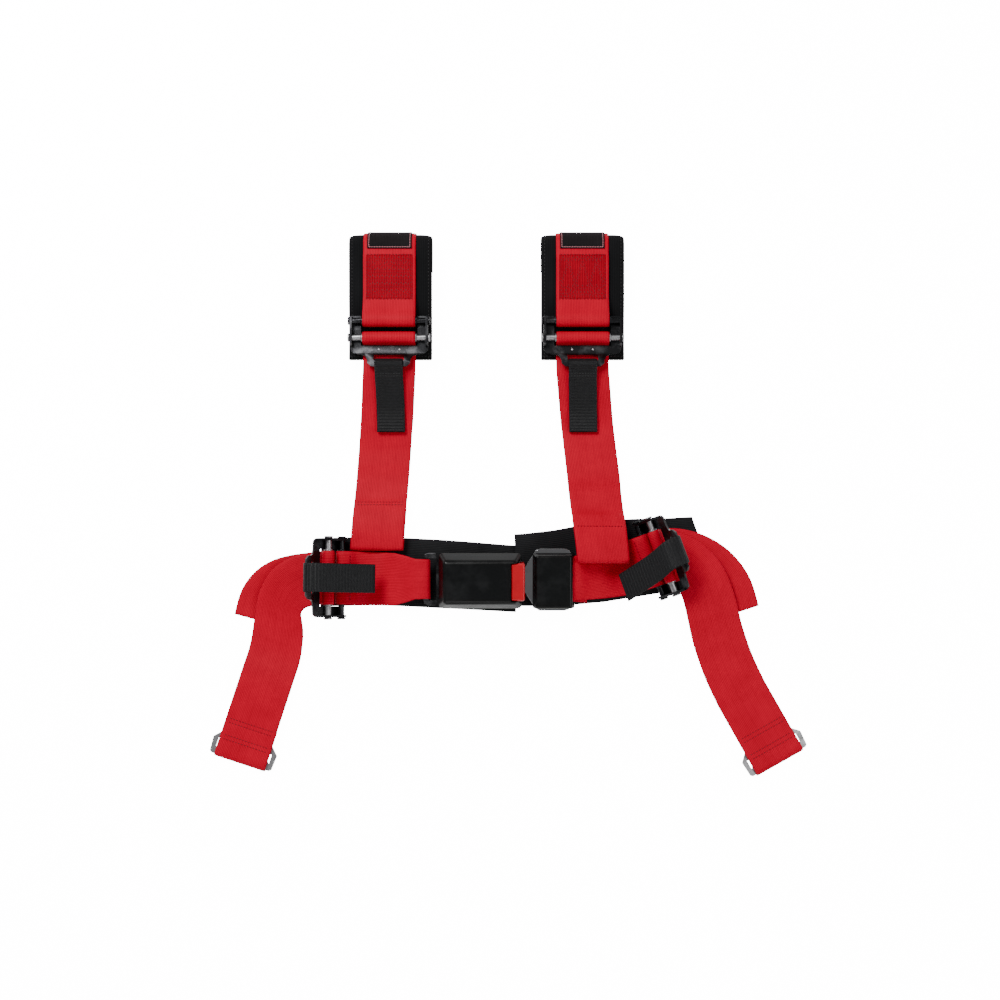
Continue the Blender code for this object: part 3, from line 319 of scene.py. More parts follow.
class Strip:
    """A band through (middle, half-width vector) stations, resampled finely, with its length measured."""

    def __init__(self, stations, step=0.0022):
        places = [Vector(p) + ORIGIN for p, h in stations]
        halves = [Vector(h) for p, h in stations]
        spans = [max((b - a).length, 1e-6) for a, b in zip(places, places[1:])]
        self.rows = []
        along = 0.0
        count = len(places)

        def slope(values, i):
            if i == 0:
                return (values[1] - values[0]) / spans[0]
            if i == count - 1:
                return (values[-1] - values[-2]) / spans[-1]
            before = (values[i] - values[i - 1]) / spans[i - 1]
            after = (values[i + 1] - values[i]) / spans[i]
            return (before * spans[i] + after * spans[i - 1]) / (spans[i - 1] + spans[i])

        for i in range(count - 1):
            size = spans[i]
            pieces = max(1, math.ceil(size / step))
            for k in range(pieces):
                t = k / pieces
                a = 2 * t ** 3 - 3 * t * t + 1
                b = t ** 3 - 2 * t * t + t
                c = -2 * t ** 3 + 3 * t * t
                d = t ** 3 - t * t
                middle = (places[i] * a + slope(places, i) * size * b + places[i + 1] * c
                          + slope(places, i + 1) * size * d)
                half = halves[i].lerp(halves[i + 1], t)
                if self.rows:
                    along += (middle - self.rows[-1][0]).length
                self.rows.append([middle, half, along])
        along += (places[-1] - self.rows[-1][0]).length
        self.rows.append([places[-1], halves[-1], along])
        self.length = along
        for i, row in enumerate(self.rows):
            a = self.rows[max(i - 1, 0)][0]
            b = self.rows[min(i + 1, len(self.rows) - 1)][0]
            row.append(row[1].cross(b - a).normalized())

    def at(self, along, across, lift):
        """A point over the band's upper side, and the way up there; across runs from -1 to 1."""
        rows = self.rows
        i = 0
        while i < len(rows) - 2 and rows[i + 1][2] < along:
            i += 1
        t = (along - rows[i][2]) / max(rows[i + 1][2] - rows[i][2], 1e-9)
        middle = rows[i][0].lerp(rows[i + 1][0], t)
        half = rows[i][1].lerp(rows[i + 1][1], t)
        up = rows[i][3].lerp(rows[i + 1][3], t).normalized()
        if up.z < 0:
            up = -up
        return middle + half * across + up * lift, up

    def nearest(self, point, upper=True):
        """How far along the band it passes a point in harness coordinates, on its top ply."""
        point = Vector(point) + ORIGIN
        best = min(self.rows, key=lambda r: (r[0].xy - point.xy).length - (r[0].z * 2 if upper else 0))
        return best[2]


def mesh_object(name, bm, material, place=None):
    """A smooth object of one material from a finished mesh, moved to its place where one is given."""
    mesh = bpy.data.meshes.new(name)
    bm.to_mesh(mesh)
    bm.free()
    if place:
        mesh.transform(place)
    mesh.shade_smooth()
    made = bpy.data.objects.new(name, mesh)
    bpy.context.scene.collection.objects.link(made)
    made.data.materials.append(material)
    return made


def strip_mesh(name, strip, depth, columns=14, material=None, width=0.0508):
    """A closed band; depth(across, along) gives its half thickness."""
    bm = bmesh.new()
    uv = bm.loops.layers.uv.new("weave")
    rings = []
    for middle, half, along, up in strip.rows:
        ring = []
        for side in (1, -1):
            order = range(columns + 1) if side == 1 else range(columns, -1, -1)
            for c in order:
                across = math.sin((-1 + 2 * c / columns) * math.pi / 2) * 0.5 + (-1 + 2 * c / columns) * 0.5
                point = middle + half * across + up * side * depth(across, along)
                ring.append((bm.verts.new(point), ((across + 1) / 2, along / width)))
        rings.append(ring)

    def face(corners):
        made = bm.faces.new([v for v, place in corners])
        for loop, (v, place) in zip(made.loops, corners):
            loop[uv].uv = place

    size = len(rings[0])
    for one, two in zip(rings, rings[1:]):
        for k in range(size):
            j = (k + 1) % size
            face((one[k], one[j], two[j], two[k]))
    for ring in (rings[0], rings[-1]):
        for c in range(columns):
            face((ring[c], ring[c + 1], ring[size - 2 - c], ring[size - 1 - c]))
    bmesh.ops.recalc_face_normals(bm, faces=bm.faces)
    return mesh_object(name, bm, material)


def web_depth(thickness):
    """Flat band whose two selvedges are rounded off."""
    def depth(across, along):
        edge = max(0.0, (abs(across) - 0.95) / 0.05)
        return thickness / 2 * math.sqrt(max(0.0, 1 - edge ** 2 * 0.85))
    return depth


def sew(name, runs, body, material, pitch=0.0030, radius=0.00032):
    """Stitches of thread along runs; each run is a list of (point, way up) over the cloth."""
    bm = bmesh.new()
    for run in runs:
        distance = [0.0]
        for (a, u), (b, v) in zip(run, run[1:]):
            distance.append(distance[-1] + (b - a).length)
        count = max(1, round(distance[-1] / pitch))
        for i in range(count):
            start = distance[-1] * (i + 0.08) / count
            end = distance[-1] * (i + 0.90) / count
            path = []
            for k in range(5):
                want = start + (end - start) * k / 4
                j = 0
                while j < len(distance) - 2 and distance[j + 1] < want:
                    j += 1
                t = (want - distance[j]) / max(distance[j + 1] - distance[j], 1e-9)
                place = run[j][0].lerp(run[j + 1][0], t)
                up = run[j][1].lerp(run[j + 1][1], t).normalized()
                hump = math.sin(math.pi * k / 4)
                path.append((place + up * (hump * 0.00030 - 0.00022), up, radius * (0.55 + 0.45 * hump)))
            previous = None
            along = (path[-1][0] - path[0][0]).normalized()
            for place, up, thick in path:
                sideways = along.cross(up).normalized()
                ring = []
                for m in range(5):
                    a = 2 * math.pi * m / 5
                    ring.append(bm.verts.new(place + (sideways * math.cos(a) + up * math.sin(a)) * thick))
                if previous:
                    for m in range(5):
                        bm.faces.new((previous[m], previous[(m + 1) % 5], ring[(m + 1) % 5], ring[m]))
                else:
                    bm.faces.new(list(reversed(ring)))
                previous = ring
            bm.faces.new(previous)
    bmesh.ops.recalc_face_normals(bm, faces=bm.faces)
    made = mesh_object(name, bm, material)
    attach(made, body)
    return made


def seam(strip, marks, lift):
    """A run of thread over a band through (along, across) marks."""
    run = []
    for (a0, c0), (a1, c1) in zip(marks, marks[1:]):
        for k in range(6):
            t = k / 6
            run.append(strip.at(a0 + (a1 - a0) * t, c0 + (c1 - c0) * t, lift))
    run.append(strip.at(*marks[-1], lift))
    return run


# ---------------------------------------------------------------- shoulder straps
# Each shoulder has an upper strap, folded round the adjuster's fixed bar and sewn back on itself with a
# zigzag box, and a lower strap that comes out round the sliding bar and folds under at the lap belt.
TOP_Y = 0.248  # where the upper straps fold under
PAD_DEPTH = 0.008
BAR_GAP = 0.0163  # fixed bar to sliding bar
BAR_R = 0.0043
WRAP = BAR_R + GAP + WEB_THICK / 2
PLATE = 0.0024
PLATE_Z = -0.0036 - PLATE / 2
PLATE_EDGE = 0.0235
MAIN_DROP = PLATE_Z - PLATE / 2 - GAP - WEB_THICK / 2
TAIL_DROP = MAIN_DROP - PLY
ANCHOR_LOOP = math.hypot(0.0065 / 2, 0.003 / 2) + GAP + WEB_THICK / 2
LOOP_Z = ANCHOR_LOOP + WEB_THICK / 2
PAD_MID = 0.0015 + LOOP_Z + GAP + PAD_DEPTH / 2 + 0.0002
BAR_Z = PAD_MID + PAD_DEPTH / 2 + GAP - TAIL_DROP + WEB_THICK / 2
ON_PAD = PAD_DEPTH / 2 + GAP + WEB_THICK / 2
PAD_END_Y = 0.137
LAP_X = {"left": -0.1180, "right": 0.0980}
FOLD_Y = {"left": -0.0445, "right": -0.0570}
FOLD_Z = {"left": 0.0115, "right": 0.0280}
FOLD_LEAN = {"left": 0.0, "right": 10.0}
LOW_PLY = WEB_THICK + GAP + PAD_DEPTH / 2
ZIGZAGS = {  # rows of sewing in the box: from, to and number of teeth
    "left": [(0.03, 0.20, 9), (0.16, 0.34, 9), (0.30, 0.50, 9), (0.46, 0.66, 9), (0.62, 0.82, 9),
             (0.79, 0.97, 9)],
    "right": [(0.03, 0.15, 12), (0.10, 0.62, 3), (0.20, 0.72, 3), (0.66, 0.82, 9), (0.80, 0.97, 12)],
}


def pad_path():
    """Middle line of a shoulder pad: flat under the adjuster, up over the bracket, folded at the top."""
    rise = [(PAD_END_Y, PAD_MID), (0.160, PAD_MID), (0.173, PAD_MID + 0.0014), (0.189, 0.0151)]
    rise += [(0.210, 0.0170), (0.230, 0.0187), (0.240, 0.0194), (TOP_Y, LOW_PLY + 0.014)]
    return rise + arc((TOP_Y, LOW_PLY + 0.007), 0.007, 75, -90, 8) + [(0.224, LOW_PLY)]


RED_SEWN = webbing_material("red_sewn_area", (0.09, 0.0, 0.003), (0.50, 0.0, 0.016), 0.6, 22, 40, 9, 0.9,
                            0.05, 0.6)


def sewn_area(name, strip, start, end, edge, node):
    """Darker web where rows of thread draw the plies together, ragged at both ends."""
    bm = bmesh.new()
    uv = bm.loops.layers.uv.new("weave")
    rows, columns = 16, 26
    grid = []
    for i in range(rows + 1):
        line = []
        for j in range(columns + 1):
            ragged = 0.0007 * (1 if j % 2 else -1) if i in (0, rows) else 0.0
            along = start + (end - start) * i / rows + ragged
            across = -edge + 2 * edge * j / columns
            place, up = strip.at(along, across, WEB_THICK / 2 + 0.00012)
            line.append((bm.verts.new(place), (0.5 + across / 2, along / WEB)))
        grid.append(line)
    for one, two in zip(grid, grid[1:]):
        for a, b, c, d in zip(one, one[1:], two[1:], two):
            face = bm.faces.new((a[0], b[0], c[0], d[0]))
            for loop, corner in zip(face.loops, (a, b, c, d)):
                loop[uv].uv = corner[1]
    bmesh.ops.recalc_face_normals(bm, faces=bm.faces)
    made = mesh_object(name, bm, RED_SEWN)
    solid = made.modifiers.new("Solidify", "SOLIDIFY")
    solid.thickness = 0.0001
    solid.offset = 0.0
    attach(made, node)
    return made


def upper_strap(side):
    """Return ply, round the fixed bar, out over the pad, under it and round the anchor's bar."""
    path = pad_path()
    skin = offset_path(path, ON_PAD)
    doubled = offset_path(path, ON_PAD + PLY)
    route = [skin[5], skin[4], (0.193, skin[3][1] + 0.0008)]
    route += arc((BAR_Y, BAR_Z), WRAP, 275, 90, 9)
    route += [(0.184, BAR_Z + 0.0015), (0.197, doubled[3][1] + 0.0012), doubled[4], (0.2300, doubled[5][1])]
    route += [(0.2330, doubled[5][1] + 0.0002)]
    route += skin[6:]
    route += arc((0.189, LOOP_Z), ANCHOR_LOOP, 270, 35, 9)
    run = WEB_THICK / 2
    route += [(0.1965, run + PLY + 0.0005), (0.201, run + PLY), (0.218, run + PLY)]
    half = Vector((WEB / 2, 0, 0))
    strip = Strip([(Vector((SHOULDER_X[side], y, z)), half) for y, z in route])
    name = "upper_strap_" + side
    made = strip_mesh(name, strip, web_depth(WEB_THICK), 14, RED_WEB)
    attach(made, "shoulder_upper_" + side)
    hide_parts("shoulder_strap_upper_" + side)

    x_mid = SHOULDER_X[side]
    start = strip.nearest((x_mid, 0.2375, 0))
    end = strip.nearest((x_mid, 0.1945, 0))
    span = end - start
    lift = WEB_THICK / 2
    edge = 0.86
    box = [(start, -edge), (start, edge), (end, edge), (end, -edge), (start, -edge)]
    runs = [seam(strip, box, lift)]
    for low, high, teeth in ZIGZAGS[side]:
        zigzag = []
        for k in range(teeth * 2 + 1):
            across = -edge * 0.94 + 2 * edge * 0.94 * k / (teeth * 2)
            zigzag.append((start + span * (low if k % 2 else high), across))
        runs.append(seam(strip, zigzag, lift))
    thread = sew(name + "_thread", runs, "shoulder_upper_" + side, RED_THREAD)
    dark = sewn_area(name + "_sewn_area", strip, start, end, edge * 1.03, "shoulder_upper_" + side)
    return strip


def lower_strap(side):
    """Tail under the adjuster, round the sliding bar, over the plate's edge and down to the lap belt."""
    x_mid = SHOULDER_X[side]
    slide_y = BAR_Y - BAR_GAP
    tail = [(0.083, 0.0010), (0.070, 0.0036), (0.050, 0.0105)]
    tail += [(0.034, BAR_Z + TAIL_DROP), (0.0085, BAR_Z + TAIL_DROP)]
    tail += [(0.0060, BAR_Z + TAIL_DROP + 0.0002), (0.0040, BAR_Z + TAIL_DROP + 0.0012)]
    ring = arc((0.0, BAR_Z), WRAP, 280, 0, 12)
    corner = arc((PLATE_EDGE - BAR_GAP, BAR_Z + PLATE_Z - PLATE / 2), WEB_THICK / 2 + GAP, 180, 270, 3)
    end = slide_y - FOLD_Y[side]
    fold_z = FOLD_Z[side]
    lift = fold_z - FOLD_Z["left"]
    bump = {"left": 0.0, "right": 0.010}[side]
    body = [(0.034, BAR_Z + MAIN_DROP), (0.050, 0.0128), (0.070, 0.0062), (0.086, 0.0038)]
    body += [(0.105, 0.0018 + bump * 0.5), (end - 0.080, 0.0022 + bump)]
    body += [(end - 0.065, 0.0030 + bump * 0.8), (end - 0.048, 0.0062 + lift * 0.5)]
    body += [(end - 0.040, 0.0096 + lift * 0.72), (end - 0.028, 0.0134 + lift * 0.92)]
    body += [(end - 0.014, 0.0153 + lift), (end, fold_z + 0.0035)]
    fold = arc((end, fold_z), 0.0035, 68, -68, 6)
    under = [(end, fold_z - 0.0035), (end - 0.014, 0.0079 + lift), (end - 0.028, 0.0075 + lift * 0.86)]
    under += [(end - 0.038, 0.0065 + lift * 0.62)]
    path = smooth([Vector(p) for p in tail[:4]], 2) + tail[4:] + ring + corner
    path += smooth([Vector(p) for p in body], 3) + fold + under
    lean = (LAP_X[side] - x_mid) / (end - 0.030)
    stations = []
    for along, z in path:
        shift = max(0.0, along - 0.030) * lean
        cant = math.radians(FOLD_LEAN[side] * min(1.0, max(0.0, (along - end + 0.075) / 0.055)))
        across = Vector((math.cos(cant), 0, -math.sin(cant))) * WEB / 2
        stations.append((Vector((x_mid + shift, slide_y - along, z)), across))
    strip = Strip(stations)
    name = "lower_strap_" + side
    made = strip_mesh(name, strip, web_depth(WEB_THICK), 14, RED_WEB)
    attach(made, "shoulder_lower_" + side)
    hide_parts("shoulder_strap_lower_" + side)
    runs = []
    for back_from in (0.0405, 0.0445):
        at = strip.nearest((x_mid + (end - back_from - 0.030) * lean, slide_y - end + back_from, 0))
        runs.append(seam(strip, [(at, -0.88), (at, 0.88)], WEB_THICK / 2))
    thread = sew(name + "_thread", runs, "shoulder_lower_" + side, RED_THREAD)
    return strip


upper = {side: upper_strap(side) for side in ("left", "right")}
for side in ("left", "right"):
    lower_strap(side)


# ---------------------------------------------------------------- shoulder pads
# A soft foam pad in a black ribbed cover lies under each upper strap. It is crowned across its width,
# pinched along two sewn channels, and bound all round its edge with folded black tape.
def cloth_group():
    """Fine ribs along the length with crossing threads and a little fuzz, for the pads' covers."""
    ins = [("Coordinates", "NodeSocketVector", 0), ("Ribs", "NodeSocketFloat", 40),
           ("Picks", "NodeSocketFloat", 40)]
    tree, n, given, made = group_tree("ribbed_cloth", ins, ["Height", "Shade"])
    split = n.add("ShaderNodeSeparateXYZ")
    n.link(given.outputs["Coordinates"], split.inputs[0])
    x = n.math("MULTIPLY", split.outputs[0], given.outputs["Ribs"])
    y = n.math("MULTIPLY", split.outputs[1], given.outputs["Picks"])
    rib = n.math("MULTIPLY_ADD", n.math("SINE", n.math("MULTIPLY", x, 2 * math.pi)), 0.5, 0.5)
    pick = n.math("MULTIPLY_ADD", n.math("SINE", n.math("MULTIPLY", y, 2 * math.pi)), 0.5, 0.5)
    fuzz = n.noise(given.outputs["Coordinates"], 45.0, 3.0, 0.65)
    broad = n.noise(given.outputs["Coordinates"], 1.6, 3.0, 0.55)
    height = n.math("ADD", n.math("MULTIPLY", rib, 0.65), n.math("MULTIPLY", pick, 0.2))
    height = n.math("MULTIPLY_ADD", fuzz, 0.35, height)
    # Shade: rib height darkens the colour between the ribs as painted shade; broad noise adds random tone.
    shade = n.math("ADD", n.math("MULTIPLY", height, 0.5), n.math("MULTIPLY_ADD", broad, 0.9, -0.25))
    n.link(height, made.inputs["Height"])
    n.link(shade, made.inputs["Shade"])
    return tree


CLOTH = cloth_group()


def cloth_material(name, dark, light, ribs, picks, bump, roughness=0.85, sheen=0.25):
    """Ribbed cover cloth over foam, darker between its ribs as painted shade."""
    made = bpy.data.materials.new(name)
    made.use_nodes = True
    n = Nodes(made.node_tree)
    shader = made.node_tree.nodes["Principled BSDF"]
    uv = n.add("ShaderNodeUVMap", uv_map="weave")
    cloth = n.add("ShaderNodeGroup", node_tree=CLOTH)
    cloth.inputs["Ribs"].default_value = ribs
    cloth.inputs["Picks"].default_value = picks
    n.link(uv.outputs[0], cloth.inputs["Coordinates"])
    n.link(n.blend(cloth.outputs["Shade"], dark, light), shader.inputs["Base Color"])
    rough = n.math("MULTIPLY_ADD", cloth.outputs["Height"], -0.1, roughness + 0.05)
    n.link(rough, shader.inputs["Roughness"])
    relief = n.add("ShaderNodeBump")
    relief.inputs["Strength"].default_value = bump
    relief.inputs["Distance"].default_value = 0.0004
    n.link(cloth.outputs["Height"], relief.inputs["Height"])
    n.link(relief.outputs[0], shader.inputs["Normal"])
    shader.inputs["Sheen Weight"].default_value = sheen
    shader.inputs["Sheen Roughness"].default_value = 0.5
    shader.inputs["Specular IOR Level"].default_value = 0.08
    return made


PAD_CLOTH = cloth_material("pad_cover", (0.0012, 0.0012, 0.0015), (0.010, 0.010, 0.011), 46, 60, 0.8,
                           0.85, 0.0)
TAPE = webbing_material("binding_tape", (0.001, 0.001, 0.0012), (0.008, 0.008, 0.009), 0.7, 7, 60, 1, 0.6,
                        0.08)
BLACK_THREAD = thread_material("black_thread", (0.020, 0.020, 0.022), 0.6)
PAD_HALF = 0.079 / 2
BINDING = 0.0042  # half width of the tape that shows on each face


def crowned(full, rim, length, channels=(), ends=0.012):
    """Half thickness of a pad: full in the middle, thin at its rim, pinched along its channels."""
    def depth(across, along):
        side = max(0.0, 1 - abs(across)) * PAD_HALF
        near = min(side, along * 0.9, (length - along) * 0.9)
        rise = min(1.0, near / ends)
        swell = math.sqrt(max(0.0, 1 - (1 - rise) ** 2))
        value = rim + (full - rim) * swell
        for place in channels:
            gap = (across - place) * PAD_HALF
            value *= 1 - 0.34 * math.exp(-(gap / 0.0016) ** 2)
        return max(value, 0.0008)
    return depth


def bind(name, strip, rim, body, inset=0.0, ends=(True, True)):
    """Folded tape sewn over both long edges and the ends of a pad, with its row of stitches."""
    bm = bmesh.new()
    uv = bm.loops.layers.uv.new("weave")
    rows = strip.rows
    thick = 0.00055
    track = []
    for middle, half, along, up in rows:
        track.append((middle + half, -half.normalized(), up))
    tracks = [track]
    tracks.append([(m - h, h.normalized(), u) for m, h, a, u in rows])
    for number, wanted in enumerate(ends):
        if not wanted:
            continue
        middle, half, along, up = rows[-1 if number else 0]
        near = rows[-3 if number else 2][0]
        inward = (near - middle).normalized()
        tracks.append([(middle + half * (-1 + 2 * k / 20), inward, up) for k in range(21)])
    runs = []
    for track in tracks:
        profile = []
        for k in range(9):
            a = math.pi * (k / 8 - 0.5)
            profile.append((-math.cos(a) * 0.0009, math.sin(a)))
        rings = []
        length = 0.0
        for i, (edge, inward, up) in enumerate(track):
            if i:
                length += (edge - track[i - 1][0]).length
            ring = []
            shape = [(BINDING, -1.0, 0.00010), (BINDING * 0.55, -1.0, thick)]
            shape += [(back, lift, thick) for back, lift in profile]
            shape += [(BINDING * 0.55, 1.0, thick), (BINDING, 1.0, 0.00010)]
            for back, lift, skin in shape:
                flare = rim + skin + (0.0009 if back > 0.002 else 0.0)
                place = edge + inward * (back + inset) + up * lift * flare
                ring.append((bm.verts.new(place), back))
            rings.append((ring, length))
        for (one, a), (two, b) in zip(rings, rings[1:]):
            for k in range(len(one) - 1):
                made = bm.faces.new((one[k][0], one[k + 1][0], two[k + 1][0], two[k][0]))
                for loop, place in zip(made.loops, ((k, a), (k + 1, a), (k + 1, b), (k, b))):
                    loop[uv].uv = (place[0] / (len(one) - 1), place[1] / 0.02)
        sewn = []
        for edge, inward, up in track:
            if up.z < 0:
                up = -up
            sewn.append((edge + inward * (BINDING * 0.62 + inset) + up * (rim + thick + 0.0010), up))
        runs.append(sewn)
    bmesh.ops.recalc_face_normals(bm, faces=bm.faces)
    made = mesh_object(name, bm, TAPE)
    solid = made.modifiers.new("Solidify", "SOLIDIFY")
    solid.thickness = 0.0004
    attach(made, body)
    thread = sew(name + "_thread", runs, body, BLACK_THREAD, 0.0034, 0.00026)
    return made, thread


def shoulder_pad(side):
    """Crowned cushion with two sewn channels, bound round its edge and folded with the strap above it."""
    half = Vector((PAD_HALF, 0, 0))
    stations = [(Vector((SHOULDER_X[side] + 0.0006, y, z)), half) for y, z in pad_path()]
    strip = Strip(stations, 0.003)
    name = "shoulder_cushion_" + side
    body = "shoulder_upper_" + side
    depth = crowned(PAD_DEPTH / 2, 0.0019, strip.length, (-0.5, 0.5))
    made = strip_mesh(name, strip, depth, 44, PAD_CLOTH, PAD_HALF * 2)
    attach(made, body)
    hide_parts("shoulder_pad_" + side)
    bind(name + "_binding", strip, 0.0015, body)
    lines = []
    for across in (-0.5, 0.5):
        marks = [(0.006 + (strip.length * 0.62 - 0.006) * k / 12, across) for k in range(13)]
        lines.append(seam(strip, marks, PAD_DEPTH / 2 * 0.66))
    sew(name + "_channel_thread", lines, body, BLACK_THREAD, 0.0036, 0.00028)


for side in ("left", "right"):
    shoulder_pad(side)


# ---------------------------------------------------------------- label patches
# A thin black woven patch is sewn over the top fold of each upper strap with a pale pink thread border.
LABEL_CLOTH = cloth_material("label_cloth", (0.003, 0.0025, 0.003), (0.016, 0.012, 0.013), 30, 30, 0.5,
                             0.75, 0.0)
PINK_THREAD = thread_material("pink_thread", (0.70, 0.28, 0.31), 0.55)
LABEL_WIDTH = 0.043
LABEL_THICK = 0.0006
LABEL_HEM = 0.0014  # the border's distance from the label's ends


def label(side):
    """One patch over the fold, with its sewn border."""
    path = offset_path(pad_path(), ON_PAD + WEB_THICK / 2 + GAP + LABEL_THICK / 2 + 0.0001)[7:12]
    path = [(0.2425, path[0][1] - 0.0002)] + path
    half = Vector((LABEL_WIDTH / 2, 0, 0))
    strip = Strip([(Vector((SHOULDER_X[side], y, z)), half) for y, z in path], 0.0015)
    name = "label_" + side
    body = "shoulder_upper_" + side
    made = strip_mesh(name, strip, web_depth(LABEL_THICK), 16, LABEL_CLOTH, LABEL_WIDTH)
    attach(made, body)
    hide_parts("label_patch_" + side)
    end = strip.length
    edge = 0.92
    lines = [seam(strip, [(LABEL_HEM, -edge), (LABEL_HEM, edge)], LABEL_THICK / 2)]
    for across in (-edge, edge):
        rim = [(LABEL_HEM + (end - 2 * LABEL_HEM) * k / 8, across) for k in range(9)]
        lines.append(seam(strip, rim, LABEL_THICK / 2))
    thread = sew(name + "_border", lines, body, PINK_THREAD, 0.0016, 0.00042)


for side in ("left", "right"):
    label(side)


# ---------------------------------------------------------------- pull tabs
# A narrow black ribbed web is looped round the bar of each adjuster's lever and sewn to itself; pulling it
# tips the adjuster and lets the strap run.
TAB_WEB = webbing_material("tab_webbing", (0.001, 0.001, 0.0012), (0.012, 0.012, 0.014), 0.42, 40, 9, 1,
                           0.9, 0.22, 0.9)
TAB_HALF = 0.027 / 2
TAB_THICK = 0.0012
FRAME_END = 0.0315
LEVER_BAR = 0.006
LEVER_FLAT = FRAME_END + 0.007
LEVER_U = LEVER_FLAT + LEVER_BAR / 2
LEVER_Z = PLATE_Z + (LEVER_FLAT - FRAME_END + 0.001) * 0.75
TAB_LOOP = math.hypot(LEVER_BAR / 2, PLATE / 2) + GAP + TAB_THICK / 2
TAB_LENGTH = 0.064


HOLDERS = {}


def pull_tab(kind, side, holder, drape):
    """Two plies out from the lever's bar; holder is the adjuster's own place, on its fixed bar."""
    HOLDERS[kind, side] = holder
    middle = Vector((LEVER_U, LEVER_Z))
    lead = Vector((drape[0][0], drape[0][1])) - middle
    lead_angle = math.degrees(math.atan2(lead.y, lead.x))
    route = smooth([Vector(p) for p in drape], 3)
    flat = [(p.x, p.y) for p in route]
    upper_ply = offset_path(flat, (TAB_THICK + GAP) / 2)
    lower_ply = offset_path(flat, -(TAB_THICK + GAP) / 2)
    ring = arc(middle, TAB_LOOP, lead_angle + 40, lead_angle + 320, 12)
    path = [(x, z, p.z) for (x, z), p in zip(reversed(upper_ply), reversed(route))]
    path += [(x, z, 0.0) for x, z in ring]
    path += [(x, z, p.z) for (x, z), p in zip(lower_ply, route)]
    turn = holder.to_3x3()
    half = turn @ Vector((0, TAB_HALF, 0))
    strip = Strip([(holder @ Vector((x, across, z)), half) for x, z, across in path])
    name = kind + "_tab_" + side
    body = kind + "_tab_" + side
    piece = "pull_tab_" + kind + "_" + side
    made = strip_mesh(piece, strip, web_depth(TAB_THICK), 10, TAB_WEB, 0.027)
    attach(made, body)
    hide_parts(kind + "_adjuster_" + side + "_pull_tab")
    lines = []
    for along in (0.0022, 0.0046, strip.length * 0.5 - 0.0170, strip.length * 0.5 - 0.0195):
        lines.append(seam(strip, [(along, -0.86), (along, 0.86)], TAB_THICK / 2))
    thread = sew(piece + "_thread", lines, body, BLACK_THREAD, 0.0026, 0.00028)


for side in ("left", "right"):
    shoulder_holder = Matrix(((0, 1, 0, SHOULDER_X[side]), (-1, 0, 0, BAR_Y), (0, 0, 1, BAR_Z), (0, 0, 0, 1)))
    hang = [(LEVER_U + 0.007, LEVER_Z - 0.0012, 0.0), (LEVER_U + 0.0145, PLATE_Z + 0.0010, 0.0)]
    hang += [(LEVER_U + 0.0245, PLATE_Z - 0.0038, 0.0004), (LEVER_U + 0.0425, PLATE_Z - 0.0102, 0.0008)]
    hang += [(LEVER_U + TAB_LENGTH, PLATE_Z - 0.0125, 0.0012)]
    pull_tab("shoulder", side, shoulder_holder, hang)


# ---------------------------------------------------------------- lap belt
# Each half of the lap belt has an inner strap from its adjuster to the buckle or the tongue, and an outer
# strap that comes out round the sliding bar, turns down and ends in a sewn loop round its anchor plate.
LAP_PAD = 0.0045
LAP_TAB_SWERVE = {"left": 0.001, "right": -0.0155}
LAP_TILT = {"left": 47.0, "right": 50.0}
LAP_BAR_Z = 0.0142
BUCKLE = Matrix.Translation((-0.0185, -0.0775, 0.0272)) @ Matrix.Rotation(math.radians(10.0), 4, "X")
BUCKLE_ACROSS = (BUCKLE.to_3x3() @ Vector((0, 1, 0))).normalized()
TONGUE_Z = -0.0070
TONGUE_THICK = 0.0025
TONGUE_BAR_X = 0.0835
FRAME_Z = TONGUE_Z - TONGUE_THICK / 2 - GAP - 0.0010
TAIL_BAR_X = -0.0520
TAIL_LOOP = math.hypot(0.0025, 0.0010) + GAP + WEB_THICK / 2
TONGUE_LOOP = math.hypot(0.0025, TONGUE_THICK / 2) + GAP + WEB_THICK / 2
ENTRY_HALF = 0.0190
TONGUE_HALF = 0.0215
LAP_PLY = LAP_PAD + GAP + 0.0004 + WEB_THICK / 2


def plan_stations(points):
    """Web stations from (x, y, z, heading) points; the heading is the way the strap runs, in degrees."""
    places = smooth([p[:3] for p in points], 3)
    turns = smooth([(p[3], 0.0, 0.0) for p in points], 3)
    stations = []
    for place, turn in zip(places, turns):
        h = math.radians(turn.x)
        stations.append((place, Vector((math.sin(h), -math.cos(h), 0)) * WEB / 2))
    return stations


def end_loop(middle, radius, half_width, start, end, back):
    """Stations round a bar across the buckle, then the return ply."""
    stations = []
    for a, z in arc((0, 0), radius, start, end, 9):
        stations.append((middle + Vector((a, 0, z)), BUCKLE_ACROSS * half_width))
    for a, z, wide in back:
        stations.append((middle + Vector((a, 0, z)), BUCKLE_ACROSS * wide))
    return stations


def left_inner(half):
    """Rest of the buckle side's inner strap: down to the pad, then up and round the buckle's tail bar."""
    ply = LAP_PLY + PLY + 0.0002
    route = [(-0.1450, -0.0746, LAP_BAR_Z + 0.0045), (-0.137, -0.0748, 0.0128)]
    route += [(-0.127, -0.0750, ply + 0.0012), (-0.115, -0.0753, ply + 0.0010)]
    stations = [(Vector(p), half) for p in route]
    bar = BUCKLE @ Vector((TAIL_BAR_X, 0, FRAME_Z))
    gather = [(-0.030, 0.35, 0.0250), (-0.020, 0.62, 0.0225), (-0.010, 0.90, ENTRY_HALF + 0.0004)]
    for step, rise, wide in gather:
        z = ply + 0.001 + (bar.z + TAIL_LOOP - ply) * rise
        lean = half.normalized().lerp(BUCKLE_ACROSS * -1, rise).normalized()
        stations.append((Vector((bar.x + step, bar.y, z)), lean * wide))
    back = [(-0.009, -TAIL_LOOP + 0.0010, ENTRY_HALF), (-0.017, -TAIL_LOOP - 0.0006, 0.0195)]
    return stations + [(p, -h) for p, h in end_loop(bar, TAIL_LOOP, ENTRY_HALF, 90, -90, back)]


